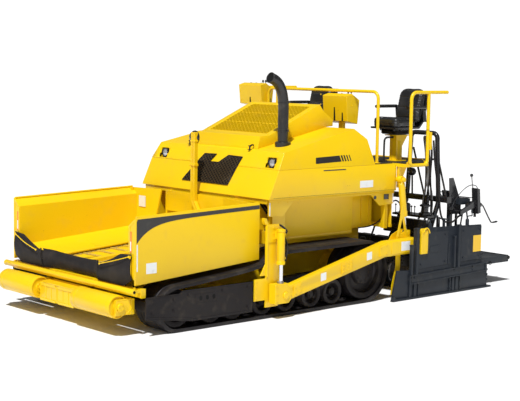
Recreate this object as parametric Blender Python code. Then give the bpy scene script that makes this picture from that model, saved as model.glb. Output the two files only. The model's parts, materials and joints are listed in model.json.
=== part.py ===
"""A tracked asphalt paver with its hopper, screed and operator's deck.

Metres. +X is forward (towards the hopper), +Y is the machine's left, +Z is up.
The origin is on the ground, under the centre of the machine's overall box.
"""
import bmesh
import bpy
from math import cos, pi, radians, sin
from mathutils import Matrix, Vector

# ---------------------------------------------------------------- general sizes
GAP = 0.0003            # between pieces that touch
CLEAR = 0.010           # between pieces that move past each other
BORE_GAP = 0.0005       # round a pin or a rod
SHEET = 0.030           # body panels, with their frames
PLATE = 0.025           # structural plate

# ---------------------------------------------------------------- tracks
TRACK_OUTER_Y = 1.43
TRACK_WIDTH = 0.457
BELT = 0.045
DRIVE_X = -0.51
DRIVE_R = 0.42
IDLER_X = 2.66
IDLER_R = 0.28
SUPPORT_X = 0.95
SUPPORT_R = 0.10
SUPPORT_TOP = 0.83
BELT_SAG = ((1.75, 0.640), (1.33, 0.705))    # top run between idler and support
WHEEL_PLAY = 0.006      # between the belt and the drive wheel and idler
ROLLER_R = 0.170
ROLLER_X = (2.127, 1.780, 1.300, 0.910, 0.465, 0.080)

# ---------------------------------------------------------------- tractor frame
FRAME_HALF = 0.70
FRAME_FRONT = 3.10
FRAME_REAR = -1.10
FRAME_BOTTOM = 0.30
BAY_FRONT = 1.22        # front wall of the engine bay
BAY_REAR = -1.18
TUNNEL_ROOF = 1.16
BAY_TOP = 1.43

# ---------------------------------------------------------------- hood
HOOD_HALF = 1.32
UPPER_HALF = 1.27
HOOD_BOTTOM = 1.463
HOOD_SHOULDER = 1.830
LID_HALF = 0.693
DECK_TOP = HOOD_SHOULDER

# ---------------------------------------------------------------- hopper
WING_FRONT = 3.20
WING_REAR = 1.315
WING_OUTER = 1.33
HINGE_Y = 0.62
HINGE_FRONT_Z = 0.690   # height of the wing hinge at FRAME_FRONT
HINGE_SLOPE = 0.075     # the hinge line falls this much for each metre forward
HINGE_R = 0.022

# ---------------------------------------------------------------- push rollers
PUSH_R = 0.135
PUSH_X = 3.365
PUSH_Z = 0.355
PUSH_INNER = 0.42
PUSH_OUTER = 1.22
PUSH_PIVOT_X = FRAME_FRONT + 0.038
PUSH_PIN_R = 0.022
PUSH_AXLE_R = 0.030

# ---------------------------------------------------------------- tow arms and screed
TOW_X = 1.09
TOW_Z = 0.30
ARM_INNER = TRACK_OUTER_Y + 0.045
ARM_OUTER = ARM_INNER + 0.080
SCREED_OUTER = 1.60
GATE = 0.025
SCREED_HALF = ARM_INNER - GAP
SCREED_FRONT = -1.70
SCREED_DEPTH = 0.52
EXTENSION_DEPTH = 0.48
SCREED_TOP = 0.45
WALKWAY_REAR = -3.50
AUGER_X = -1.38
AUGER_Z = 0.36
AUGER_R = 0.19
AUGER_END = 1.44
AUGER_PIN_R = 0.022

# ---------------------------------------------------------------- lift cylinders
LIFT_Y = 1.40
LIFT_TOP = (-1.185, 1.617)
LIFT_EYE = (-1.290, 0.890)
LIFT_BARREL_R = 0.050
LIFT_ROD_R = 0.025
LIFT_PIN_R = 0.022

YELLOW = ((0.82, 0.52, 0.02), 0.35, 0.0)
BLACK = ((0.03, 0.03, 0.035), 0.45, 0.0)
RUBBER = ((0.02, 0.02, 0.022), 0.85, 0.0)
STEEL = ((0.60, 0.61, 0.63), 0.30, 1.0)
CHROME = ((0.85, 0.86, 0.88), 0.08, 1.0)
VINYL = ((0.02, 0.02, 0.02), 0.35, 0.0)


# ================================================================ modelling helpers
def clear_scene():
    for old in list(bpy.data.objects):
        bpy.data.objects.remove(old)


def collection(name):
    made = bpy.data.collections.new(name)
    bpy.context.scene.collection.children.link(made)
    return made


def paint(piece, look):
    """Gives a piece a Principled material of its own."""
    colour, roughness, metallic = look
    material = bpy.data.materials.new(piece.name)
    material.use_nodes = True
    shader = material.node_tree.nodes["Principled BSDF"]
    shader.inputs["Base Color"].default_value = (*colour, 1.0)
    shader.inputs["Roughness"].default_value = roughness
    shader.inputs["Metallic"].default_value = metallic
    piece.data.materials.clear()
    piece.data.materials.append(material)


def solid(name, mesh):
    piece = bpy.data.objects.new(name, mesh)
    WORKSHOP.objects.link(piece)
    return piece


def bake(piece):
    """Turns a curve, or a mesh with modifiers, into a plain welded mesh in world space."""
    bpy.context.view_layer.update()
    graph = bpy.context.evaluated_depsgraph_get()
    mesh = bpy.data.meshes.new_from_object(piece.evaluated_get(graph))
    mesh.transform(piece.matrix_world)
    work = bmesh.new()
    work.from_mesh(mesh)
    bmesh.ops.remove_doubles(work, verts=work.verts, dist=0.00005)
    bmesh.ops.recalc_face_normals(work, faces=work.faces)
    work.to_mesh(mesh)
    work.free()
    made = solid(piece.name, mesh)
    bpy.data.objects.remove(piece)
    return made


def box(low, high):
    """A box between two corners."""
    work = bmesh.new()
    bmesh.ops.create_cube(work, size=1.0)
    size = [b - a for a, b in zip(low, high)]
    middle = [(a + b) / 2 for a, b in zip(low, high)]
    bmesh.ops.scale(work, vec=size, verts=work.verts)
    bmesh.ops.translate(work, vec=middle, verts=work.verts)
    mesh = bpy.data.meshes.new("box")
    work.to_mesh(mesh)
    work.free()
    return solid("box", mesh)


def drum(start, end, radius, sides=20, end_radius=None):
    """A cylinder or cone from one point to another."""
    start, end = Vector(start), Vector(end)
    along = end - start
    work = bmesh.new()
    bmesh.ops.create_cone(work, cap_ends=True, segments=sides, depth=along.length,
                          radius1=radius, radius2=radius if end_radius is None else end_radius)
    turn = Vector((0, 0, 1)).rotation_difference(along).to_matrix().to_4x4()
    bmesh.ops.transform(work, verts=work.verts,
                        matrix=Matrix.Translation((start + end) / 2) @ turn)
    mesh = bpy.data.meshes.new("drum")
    work.to_mesh(mesh)
    work.free()
    return solid("drum", mesh)


def bore(start, end, pin_radius, sides=16):
    """A cutter for a hole whose flats clear a pin by BORE_GAP."""
    return drum(start, end, (pin_radius + BORE_GAP) / cos(pi / sides), sides)


def prism(outline, low, high, along="Y"):
    """A flat outline given thickness: XZ points along Y, or YZ points along X."""
    curve = bpy.data.curves.new("outline", "CURVE")
    curve.dimensions = "2D"
    curve.fill_mode = "BOTH"
    curve.extrude = abs(high - low) / 2
    line = curve.splines.new("POLY")
    line.points.add(len(outline) - 1)
    for point, (a, b) in zip(line.points, outline):
        point.co = (a, b, 0, 1)
    line.use_cyclic_u = True
    piece = bpy.data.objects.new("prism", curve)
    WORKSHOP.objects.link(piece)
    middle = (low + high) / 2
    if along == "Y":
        piece.matrix_world = Matrix(((1, 0, 0, 0), (0, 0, -1, middle), (0, 1, 0, 0), (0, 0, 0, 1)))
    else:
        piece.matrix_world = Matrix(((0, 0, 1, middle), (1, 0, 0, 0), (0, 1, 0, 0), (0, 0, 0, 1)))
    return bake(piece)


def tube(points, radius, closed=False, resolution=2):
    """A round bar or pipe along a line of points."""
    curve = bpy.data.curves.new("line", "CURVE")
    curve.dimensions = "3D"
    curve.bevel_depth = radius
    curve.bevel_resolution = resolution
    curve.use_fill_caps = True
    line = curve.splines.new("POLY")
    line.points.add(len(points) - 1)
    for point, place in zip(line.points, points):
        point.co = (*place, 1)
    line.use_cyclic_u = closed
    piece = bpy.data.objects.new("tube", curve)
    WORKSHOP.objects.link(piece)
    return bake(piece)


def boolean(piece, others, operation):
    for other in others:
        change = piece.modifiers.new(operation, "BOOLEAN")
        change.operation = operation
        change.object = other
        piece = bake(piece)
        bpy.data.objects.remove(other)
    return piece


def fuse(first, *others):
    return boolean(first, others, "UNION")


def cut(piece, *tools):
    return boolean(piece, tools, "DIFFERENCE")


def mirrored(piece):
    """The same piece on the machine's other side."""
    mesh = piece.data.copy()
    mesh.transform(Matrix.Scale(-1, 4, (0, 1, 0)))
    mesh.flip_normals()
    return solid(piece.name, mesh)


def mirrored_and_gone(piece):
    twin = mirrored(piece)
    bpy.data.objects.remove(piece)
    return twin


def node(name, piece, look, pivot=None):
    """Names a finished piece, paints it, and hangs it from its joint's empty."""
    piece.name = name
    piece.data.name = name
    WORKSHOP.objects.unlink(piece)
    MACHINE.objects.link(piece)
    piece.data.shade_smooth()
    piece.data.set_sharp_from_angle(angle=radians(32))
    paint(piece, look)
    if pivot:
        piece.data.transform(Matrix.Translation(-pivot.location))
        piece.parent = pivot
    return piece


def pair(name, piece, look, pivots=(None, None)):
    """A left piece and its mirror image on the right."""
    twin = mirrored(piece)
    node(name + "_left", piece, look, pivots[0])
    node(name + "_right", twin, look, pivots[1])


def pivot(name, place):
    empty = bpy.data.objects.new(name, None)
    empty.location = place
    empty.empty_display_size = 0.2
    MACHINE.objects.link(empty)
    return empty


def pivots(name, place):
    x, y, z = place
    return pivot(name + "_left", (x, y, z)), pivot(name + "_right", (x, -y, z))


def arc(centre, radius, start, end, steps):
    """Points on an arc, angles in degrees."""
    turns = [radians(start + (end - start) * i / steps) for i in range(steps + 1)]
    return [(centre[0] + radius * cos(t), centre[1] + radius * sin(t)) for t in turns]


def strip(line, thickness):
    """The outline of a bent sheet: a line of points and its copy, offset to the line's left."""
    far = []
    for i, point in enumerate(line):
        here = Vector(point)
        before = (here - Vector(line[i - 1])).normalized() if i else None
        after = (Vector(line[i + 1]) - here).normalized() if i < len(line) - 1 else None
        one = before or after
        two = after or before
        normal = (one + two).normalized().orthogonal()
        far.append(tuple(here + normal * thickness / normal.dot(one.orthogonal())))
    return list(line) + far[::-1]


def lean(piece, slope):
    """Lowers a piece's points towards the front; slope is a function of height."""
    for vertex in piece.data.vertices:
        vertex.co.z += (FRAME_FRONT - vertex.co.x) * slope(vertex.co.z)
    return piece


def hinge_z(x):
    """Height of the hopper wings' hinge line."""
    return HINGE_FRONT_Z + HINGE_SLOPE * (FRAME_FRONT - x)


# ================================================================ undercarriage
def belt_line(inset):
    """Side outline of the track, moved in by inset: idler, sagging top run, support, drive wheel."""
    sag = [(x, z - inset) for x, z in BELT_SAG]
    return (arc((IDLER_X, IDLER_R), IDLER_R - inset, -90, 84, 8) + sag
            + arc((SUPPORT_X, SUPPORT_TOP - SUPPORT_R), SUPPORT_R - inset, 62, 90, 2)
            + arc((DRIVE_X, DRIVE_R), DRIVE_R - inset, 90, 270, 10))


def track():
    inner = TRACK_OUTER_Y - TRACK_WIDTH
    outside = prism(belt_line(0), inner, TRACK_OUTER_Y)
    hole = prism(belt_line(BELT), inner - 0.01, TRACK_OUTER_Y + 0.01)
    return cut(outside, hole)


def wheel(x, z, radius, low, high, sides=20):
    return drum((x, low, z), (x, high, z), radius, sides)


def undercarriage():
    """Track frame with its drive wheel, idler and rollers."""
    inner = TRACK_OUTER_Y - TRACK_WIDTH
    low, high = inner + 0.06, TRACK_OUTER_Y - 0.03
    middle = (low + high) / 2
    rolling = BELT + GAP
    beam = [(DRIVE_X, 0.33), (IDLER_X, 0.22), (IDLER_X, 0.34), (1.6, 0.42), (DRIVE_X, 0.52)]
    frame = prism(beam, middle - 0.05, middle + 0.05)
    frame = fuse(frame, wheel(DRIVE_X, DRIVE_R, DRIVE_R - BELT - WHEEL_PLAY, low, high, 28))
    frame = fuse(frame, wheel(IDLER_X, IDLER_R, IDLER_R - BELT - WHEEL_PLAY, low, high))
    for x in ROLLER_X:
        frame = fuse(frame, wheel(x, ROLLER_R + rolling, ROLLER_R, low, high, 16))
    post = box((SUPPORT_X - 0.05, middle - 0.04, 0.40),
               (SUPPORT_X + 0.05, middle + 0.04, SUPPORT_TOP - SUPPORT_R))
    top = wheel(SUPPORT_X, SUPPORT_TOP - SUPPORT_R, SUPPORT_R - BELT - WHEEL_PLAY, low, high, 12)
    return fuse(frame, post, top)


def track_guard():
    """Plate outside the front of the track, on an arm from the frame."""
    outline = [(3.14, 0.21), (3.14, 0.47), (2.65, 0.47), (2.60, 0.50), (1.52, 0.50),
               (1.52, 0.12), (2.45, 0.12)]
    plate = prism(outline, TRACK_OUTER_Y + 0.005, TRACK_OUTER_Y + 0.030)
    arm = box((2.98, FRAME_HALF + GAP, 0.28), (3.07, TRACK_OUTER_Y + 0.015, 0.40))
    return fuse(plate, arm)


# ================================================================ tractor frame
def frame_side(y_low, y_high):
    under_wing = 0.045
    outline = [
        (FRAME_REAR, FRAME_BOTTOM), (FRAME_FRONT, FRAME_BOTTOM),
        (FRAME_FRONT, hinge_z(FRAME_FRONT) - under_wing),
        (BAY_FRONT + 0.06, hinge_z(BAY_FRONT) - under_wing),
        (BAY_FRONT, hinge_z(BAY_FRONT) - under_wing),
        (BAY_FRONT, BAY_TOP), (BAY_REAR + 0.02, BAY_TOP), (BAY_REAR, BAY_TOP - 0.02),
        (BAY_REAR, 0.95), (FRAME_REAR, 0.90)]
    return prism(outline, y_low, y_high)


def hinge_rod():
    ends = [(x, HINGE_Y, hinge_z(x)) for x in (BAY_FRONT - 0.02, FRAME_FRONT - PLATE / 2)]
    return drum(ends[0], ends[1], HINGE_R / 2, 12)


def main_frame():
    """Side plates, floor, engine bed, front beam and the fixed parts of the hinges."""
    sides = FRAME_HALF - 0.04
    frame = fuse(frame_side(sides, FRAME_HALF), frame_side(-FRAME_HALF, -sides),
                 box((FRAME_REAR, -sides - 0.01, FRAME_BOTTOM), (FRAME_FRONT, sides + 0.01, 0.34)),
                 box((BAY_REAR, -sides - 0.01, TUNNEL_ROOF), (BAY_FRONT, sides + 0.01, TUNNEL_ROOF + 0.03)),
                 box((BAY_FRONT - 0.03, -sides - 0.01, TUNNEL_ROOF), (BAY_FRONT, sides + 0.01, BAY_TOP)))
    # cross tubes that carry the track frames, and the final drives
    middle = TRACK_OUTER_Y - TRACK_WIDTH / 2
    for side in (-1, 1):
        low = side * sides
        for x, z, radius, reach in ((1.54, 0.33, 0.06, middle + 0.015 - 0.05),
                                    (0.70, 0.43, 0.04, middle + 0.015 - 0.05),
                                    (DRIVE_X, DRIVE_R, 0.18, TRACK_OUTER_Y - TRACK_WIDTH + 0.06)):
            frame = fuse(frame, drum((x, low, z), (x, side * (reach - GAP), z), radius, 16))
        # front end of the wing hinge and the rod along it
        z = hinge_z(FRAME_FRONT)
        inner, outer = sorted((side * (HINGE_Y - HINGE_R), side * (HINGE_Y + HINGE_R)))
        lug = box((FRAME_FRONT - PLATE, inner, z - 0.10), (FRAME_FRONT, outer, z + 0.018))
        inner, outer = sorted((side * (HINGE_Y - HINGE_R), side * (sides + 0.01)))
        lug = fuse(lug, box((FRAME_FRONT - PLATE, inner, z - 0.10), (FRAME_FRONT, outer, z - 0.055)))
        rod = hinge_rod()
        if side < 0:
            rod = mirrored_and_gone(rod)
        frame = fuse(frame, lug, rod)
    # front cross beam with the round bumper bar ahead of it
    beam = box((FRAME_FRONT - 0.01, -1.38, 0.46), (FRAME_FRONT + 0.06, 1.38, 0.56))
    bar = drum((3.27, -1.40, 0.54), (3.27, 1.40, 0.54), 0.036, 14)
    frame = fuse(frame, beam, bar)
    for y in (-1.36, -0.45, 0.45, 1.36):
        frame = fuse(frame, box((FRAME_FRONT + 0.05, y - 0.02, 0.52), (3.27, y + 0.02, 0.555)))
    # lugs and pin of the push beam
    for z in (0.325, 0.405):
        lug = box((FRAME_FRONT - 0.01, -0.06, z - 0.01), (FRAME_FRONT + 0.062, 0.06, z + 0.01))
        frame = fuse(frame, lug)
    return fuse(frame, drum((PUSH_PIVOT_X, 0, 0.32), (PUSH_PIVOT_X, 0, 0.41), PUSH_PIN_R, 12))


def conveyor_floor():
    """The sloping floor that the slat chains run on, from the hopper to the augers."""
    front, rear, knee = FRAME_FRONT - GAP, FRAME_REAR - 0.04, BAY_FRONT + 0.1
    half = FRAME_HALF - 0.04 - 0.075

    def top(x):
        return hinge_z(max(x, knee)) - 0.03

    line = [(front, top(front)), (knee, top(knee)), (rear, top(rear))]
    floor = prism(strip(line, 0.06), -half, half)
    ridge = prism(strip([(x, z + 0.05) for x, z in line[:2]], 0.07), -0.05, 0.05)
    floor = fuse(floor, ridge)
    for x in (2.6, 0.2, -0.9):
        under = top(x) - 0.055
        floor = fuse(floor, box((x, -0.5, 0.34 + GAP), (x + 0.06, 0.5, under)))
    return floor


def engine():
    return box((-0.75, -0.45, TUNNEL_ROOF + 0.03 + GAP), (0.75, 0.45, 1.78))


# ================================================================ hood
FRONT_FOOT = (1.159, HOOD_BOTTOM)
FRONT_CREASE = (0.991, HOOD_SHOULDER)
ROOF_FRONT = (0.866, 2.041)
ROOF_REAR = (-0.440, 2.315)
STEP_TOP = (-0.665, 2.172)
STEP_FOOT = (-0.757, HOOD_SHOULDER)


def engine_hood():
    """Lower hood: side panels, front skirt and rear shelf."""
    rear = BAY_REAR
    outline = [FRONT_FOOT, FRONT_CREASE, (rear, HOOD_SHOULDER), (rear, HOOD_BOTTOM)]
    slant = SHEET * 1.1
    inside = [(FRONT_FOOT[0] - slant + 0.005, HOOD_BOTTOM - 0.01),
              (FRONT_CREASE[0] - slant - 0.014, HOOD_SHOULDER - SHEET),
              (rear + SHEET, HOOD_SHOULDER - SHEET), (rear + SHEET, HOOD_BOTTOM - 0.01)]
    shell = cut(prism(outline, -HOOD_HALF, HOOD_HALF),
                prism(inside, -HOOD_HALF + SHEET, HOOD_HALF - SHEET))
    window = box((STEP_FOOT[0] + 0.06, -UPPER_HALF + 0.06, HOOD_SHOULDER - 0.1),
                 (FRONT_CREASE[0] - 0.08, UPPER_HALF - 0.06, HOOD_SHOULDER + 0.1))
    return cut(shell, window)


def roof_z(x):
    run = (x - ROOF_REAR[0]) / (ROOF_FRONT[0] - ROOF_REAR[0])
    return ROOF_REAR[1] + run * (ROOF_FRONT[1] - ROOF_REAR[1])


def upper_hood():
    lift = HOOD_SHOULDER + GAP
    outline = [(FRONT_CREASE[0], lift), ROOF_FRONT, ROOF_REAR, STEP_TOP, (STEP_FOOT[0], lift)]
    inside = [(FRONT_CREASE[0] - 0.036, lift - 0.01), (ROOF_FRONT[0] - 0.022, ROOF_FRONT[1] - SHEET),
              (ROOF_REAR[0], ROOF_REAR[1] - SHEET), (STEP_TOP[0] + SHEET, STEP_TOP[1] - 0.02),
              (STEP_FOOT[0] + SHEET, lift - 0.01)]
    shell = cut(prism(outline, -UPPER_HALF, UPPER_HALF),
                prism(inside, -UPPER_HALF + SHEET, UPPER_HALF - SHEET))
    mouth = box((-0.25, -LID_HALF + 0.09, 2.0), (0.60, LID_HALF - 0.09, 2.4))
    return cut(shell, mouth)


LID_HINGE = (-0.545, 2.345)


def grille_lid():
    """Raised lid over the radiators, hinged at its rear edge."""
    seat = 0.0005
    front, rear = 0.80, -0.44
    outline = [(front, roof_z(front) + seat), (0.762, 2.218), (0.60, 2.225), (-0.306, 2.62),
               (-0.385, 2.524), (-0.56, 2.407), (-0.56, 2.325), (rear, roof_z(rear) + seat)]
    inside = [(front - 0.04, roof_z(front) + seat - 0.02), (0.73, 2.185), (0.595, 2.190), (-0.29, 2.57),
              (-0.37, 2.485), (-0.50, 2.39), (rear + 0.02, roof_z(rear) + seat - 0.02)]
    lid = cut(prism(outline, -LID_HALF, LID_HALF),
              prism(inside, -LID_HALF + SHEET, LID_HALF - SHEET))
    return lid


def lid_hinge_blocks():
    """Two blocks on the hood's rear edge that carry the lid."""
    return [box((-0.60, side * 0.45 - 0.05, 2.18), (-0.50, side * 0.45 + 0.05, 2.312)) for side in (-1, 1)]


def front_grille():
    """Black mesh panel set on the hood's sloping front."""
    foot, head = Vector((1.103, 1.585)), Vector((0.915, 1.95))
    crease = Vector(FRONT_CREASE)
    lower = strip([tuple(foot + Vector((0.0025, 0))), tuple(crease + Vector((0.0025, 0.001))),
                   tuple(head + Vector((0.006, 0)))], -0.02)
    return prism(lower, -0.48, 0.55)


def exhaust_stack():
    x, y = 0.55, 0.90
    foot = roof_z(x)
    radius = 0.07
    bend = [(x + 0.12 * (1 - cos(radians(a))), y, 2.84 + 0.12 * sin(radians(a))) for a in (0, 22, 45, 68)]
    line = [(x, y, foot - 0.02)] + bend + [(x + 0.14, y, 2.965), (x + 0.25, y, 2.975)]
    stack = fuse(tube(line, radius), drum((x, y, foot - 0.04), (x, y, foot + 0.06), 0.10, 20))
    reach = 0.2
    under = [(x - reach, roof_z(x - reach) + GAP), (x + reach, roof_z(x + reach) + GAP),
             (x + reach, foot - 0.3), (x - reach, foot - 0.3)]
    return cut(stack, prism(under, y - reach, y + reach))


def centre_mast():
    x = BAY_FRONT + GAP
    mast = box((x, -0.10, 1.20), (x + 0.06, 0.0, 2.25))
    return fuse(mast, box((x - 0.05, -0.17, 2.08), (x + 0.02, 0.02, 2.27)))


# ================================================================ sides below the hood
def side_frame():
    """Tank between the frame and the side panel, with the brackets that hold the panel."""
    inner = FRAME_HALF + GAP
    shelf_top = HOOD_BOTTOM - GAP
    tank = box((-0.56, inner, 0.90), (0.698, 1.10, shelf_top))
    shelf = box((BAY_REAR + 0.01, inner, 1.425), (1.12, HOOD_HALF - 0.03, shelf_top))
    front = prism([(1.12, 1.437), (1.12, 1.249), (0.879, 1.238), (0.694, 1.436)], 1.26, 1.285)
    rear = prism([(-0.69, 1.450), (-0.898, 1.268), (-1.165, 1.285), (-1.165, 1.450)], 1.26, 1.285)
    pillar = box((0.80, 1.16, 0.95), (1.02, 1.24, 1.44))
    strut = box((-1.07, 1.20, 0.95), (-1.01, 1.27, 1.44))
    tie = box((0.80, inner, 0.95), (1.02, 1.24, 1.01))
    rear_tie = box((-1.07, inner, 0.96), (-1.01, 1.27, 1.02))
    return fuse(tank, shelf, front, rear, pillar, strut, tie, rear_tie)


# ================================================================ operator's deck
DECK_REAR = -2.00
DECK_HALF = 1.50
SEAT_X = -1.50
SEAT_Y = {"left": 1.00, "right": -0.80}
SEAT_BASE = 2.12
RAIL_X = -0.95


def operator_deck():
    """Deck plate, its box frame, seat pedestals and the lift cylinders' upper pins."""
    front = BAY_REAR - GAP
    under = FRAME_HALF - 0.02
    deck = fuse(box((DECK_REAR, -DECK_HALF, DECK_TOP - 0.04), (front, DECK_HALF, DECK_TOP)),
                box((-1.66, -under, TUNNEL_ROOF + 0.005), (front, under, DECK_TOP - 0.03)))
    for y in SEAT_Y.values():
        deck = fuse(deck, drum((SEAT_X, y, DECK_TOP - 0.02), (SEAT_X, y, SEAT_BASE), 0.07, 16))
    x, z = LIFT_TOP
    near, far = HOOD_HALF + 0.005, HOOD_HALF + 0.023
    for side in (-1, 1):
        low, high = sorted((side * near, side * far))
        ear = box((x - 0.05, low, z - 0.035), (x - 0.005, high, DECK_TOP - 0.02))
        ear = fuse(ear, wheel(x, z, 0.035, low, high, 14))
        pin = drum((x, side * (near + 0.005), z), (x, side * (LIFT_Y + 0.05), z), LIFT_PIN_R, 12)
        deck = fuse(deck, ear, pin)
    return deck


def rail_loop(x_front, x_rear, y, foot, top, bend=0.10):
    """Points of a handrail: two posts and a top bar with rounded corners, along X."""
    front = [(x_front - bend * (1 - cos(t)), y, top - bend * (1 - sin(t)))
             for t in (0, radians(45), radians(90))]
    rear = [(x_rear + bend * (1 - sin(t)), y, top - bend * (1 - cos(t)))
            for t in (0, radians(45), radians(90))]
    return [(x_front, y, foot)] + front + rear + [(x_rear, y, foot)]


def guard_rail():
    """Side handrail: a hoop with a lower bar, its feet outside the deck's edge."""
    y = DECK_HALF + 0.026
    foot = DECK_TOP - 0.04
    hoop = tube(rail_loop(-1.21, -1.93, y, foot, 2.80), 0.024)
    middle = tube([(-1.21, y, 2.35), (-1.93, y, 2.35)], 0.018)
    post = tube([(-1.56, y, foot), (-1.56, y, 2.80)], 0.018)
    rail = fuse(hoop, middle, post)
    for x in (-1.21, -1.56, -1.93):
        plate = box((x - 0.04, DECK_HALF + GAP, foot + 0.002), (x + 0.04, y + 0.01, DECK_TOP - 0.002))
        rail = fuse(rail, plate)
    return rail


def console(low, high, y_low, y_high):
    """Sloping box of controls between two heights."""
    x = RAIL_X
    outline = [(x - 0.10, low), (x + 0.10, low + 0.04), (x + 0.13, high - 0.03),
               (x + 0.02, high), (x - 0.13, high - 0.09)]
    return prism(outline, y_low, y_high)


def front_handrail():
    """Cross rail ahead of the seats with the left-hand console on it."""
    x, foot, top = RAIL_X, DECK_TOP + GAP, 2.80
    line = [(x, 1.16, foot), (x, 1.16, top - 0.10), (x, 1.13, top - 0.03), (x, 1.06, top),
            (x, -0.98, top), (x, -1.04, top - 0.03), (x, -1.05, top - 0.10), (x, -1.05, foot)]
    stem = box((x - 0.03, 0.44, foot), (x + 0.03, 0.52, 2.40))
    return fuse(tube(line, 0.022), console(2.32, 2.82, 0.14, 0.81), stem)


def side_console():
    """Right-hand console on its own post."""
    x = RAIL_X
    post = box((x - 0.03, -1.24, HOOD_SHOULDER + GAP), (x + 0.03, -1.18, 2.66))
    return fuse(post, console(2.52, 2.87, -1.58, -1.09))


def seat():
    """Cushion, backrest and armrests on a swivel plate, about the pedestal's axis."""
    base = SEAT_BASE + GAP
    body = box((-0.17, -0.15, base), (0.17, 0.15, 2.22))
    cushion = box((-0.24, -0.27, 2.20), (0.28, 0.27, 2.35))
    back = prism([(-0.16, 2.30), (-0.30, 2.30), (-0.42, 2.86), (-0.29, 2.86)], -0.26, 0.26)
    body = fuse(body, cushion, back)
    for side in (-1, 1):
        low, high = sorted((side * 0.255, side * 0.325))
        arm = box((-0.31, low, 2.56), (0.12, high, 2.61))
        body = fuse(body, arm)
    return body


# ================================================================ hopper
def wing_slope(z):
    """The wing's floor falls forward with its hinge; its top edge falls less."""
    share = min(1, max(0, (z - 0.85) / 0.5))
    return HINGE_SLOPE + share * (0.030 - HINGE_SLOPE)


def hopper_wing():
    """Folding side of the hopper: outer wall, sloping lip, inner wall, floor and back plate."""
    z = HINGE_FRONT_Z
    sheet = 0.028
    line = [(WING_OUTER, z - 0.085), (WING_OUTER, 1.385), (WING_OUTER - 0.14, 1.285),
            (WING_OUTER - 0.14, z + 0.10), (HINGE_Y + HINGE_R + 0.006, z + 0.013)]
    skin = prism(strip(line, sheet), WING_REAR, WING_FRONT, "X")
    back = prism([(WING_OUTER - 0.02, z + 0.02), (WING_OUTER - 0.01, 1.375), (HINGE_Y + 0.02, 1.395),
                  (HINGE_Y + 0.15, z + 0.20), (HINGE_Y + HINGE_R + 0.03, z + 0.003)],
                 WING_REAR + 0.004, WING_REAR + PLATE, "X")
    wing = fuse(lean(skin, wing_slope), lean(back, wing_slope))
    ends = [(x, HINGE_Y, hinge_z(x)) for x in (WING_REAR, FRAME_FRONT - PLATE - 0.012)]
    knuckle = drum(ends[0], ends[1], HINGE_R, 12)
    web_z = z - 0.006
    web = box((WING_REAR, HINGE_Y, web_z), (FRAME_FRONT - PLATE - 0.012, HINGE_Y + 0.05, web_z + 0.02))
    web = lean(web, lambda height: HINGE_SLOPE)
    hole = bore((WING_REAR - 0.05, HINGE_Y, hinge_z(WING_REAR - 0.05)),
                (FRAME_FRONT, HINGE_Y, hinge_z(FRAME_FRONT)), HINGE_R / 2)
    return cut(fuse(wing, knuckle, web), hole)


def wing_flap():
    """Rubber apron across the front of one wing."""
    x = WING_FRONT + GAP
    return prism([(0.66, 0.60), (1.10, 0.57), (1.26, 0.66), (1.26, 0.95), (0.95, 0.955), (0.66, 0.80)],
                 x, x + 0.014, "X")


def centre_flap():
    x = FRAME_FRONT + GAP
    return box((x, -0.57, 0.56 + GAP), (x + 0.014, 0.57, 0.80))


# ================================================================ push beam
def push_beam():
    """Beam that turns on a vertical pin and holds the two push rollers."""
    rear = PUSH_PIVOT_X + 0.032
    beam = box((rear, -1.27, 0.26), (rear + 0.05, 1.27, 0.44))
    nose = box((rear + 0.04, -PUSH_INNER + 0.04, 0.22), (3.40, PUSH_INNER - 0.04, 0.44))
    beam = fuse(beam, nose)
    for side in (-1, 1):
        low, high = sorted((side * (PUSH_OUTER + CLEAR), side * (PUSH_OUTER + CLEAR + 0.03)))
        beam = fuse(beam, box((rear, low, 0.26), (PUSH_X + 0.06, high, 0.44)))
        ends = [(PUSH_X, side * y, PUSH_Z) for y in (PUSH_INNER - 0.05, PUSH_OUTER + 0.03)]
        beam = fuse(beam, drum(ends[0], ends[1], PUSH_AXLE_R, 12))
    lug = box((FRAME_FRONT + 0.012, -0.045, 0.335 + BORE_GAP), (rear + 0.01, 0.045, 0.395 - BORE_GAP))
    lug = cut(lug, bore((PUSH_PIVOT_X, 0, 0.30), (PUSH_PIVOT_X, 0, 0.43), PUSH_PIN_R))
    return fuse(beam, lug)


def push_roller():
    roller = drum((PUSH_X, PUSH_INNER, PUSH_Z), (PUSH_X, PUSH_OUTER, PUSH_Z), PUSH_R, 24)
    hole = bore((PUSH_X, PUSH_INNER - 0.1, PUSH_Z), (PUSH_X, PUSH_OUTER + 0.1, PUSH_Z), PUSH_AXLE_R)
    return cut(roller, hole)


# ================================================================ tow points
CYLINDER_X = 1.137
CYLINDER_Y = 1.535
TOW_ROD_R = 0.030
POST_PLATE = 0.020       # thin enough to clear the arm as the tow point rises


def tow_post():
    """Vertical plate outside the track with the tow cylinder's barrel and its tie to the frame."""
    inner = TRACK_OUTER_Y + 0.005
    outer = inner + POST_PLATE
    post = box((1.10, inner, 0.15), (1.31, outer, 1.18))
    tie = box((1.14, FRAME_HALF + GAP, 0.92), (BAY_FRONT - 0.01, inner + 0.01, 1.08))
    plate = box((1.30, inner, 0.245), (1.49, outer, 0.515))
    barrel = drum((CYLINDER_X, CYLINDER_Y, 0.683), (CYLINDER_X, CYLINDER_Y, 1.115), 0.050, 18)
    clamp = box((1.105, outer - 0.008, 1.00), (1.17, CYLINDER_Y, 1.10))
    post = fuse(post, tie, plate, barrel, clamp)
    return cut(post, bore((CYLINDER_X, CYLINDER_Y, 0.60), (CYLINDER_X, CYLINDER_Y, 1.095), TOW_ROD_R))


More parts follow.
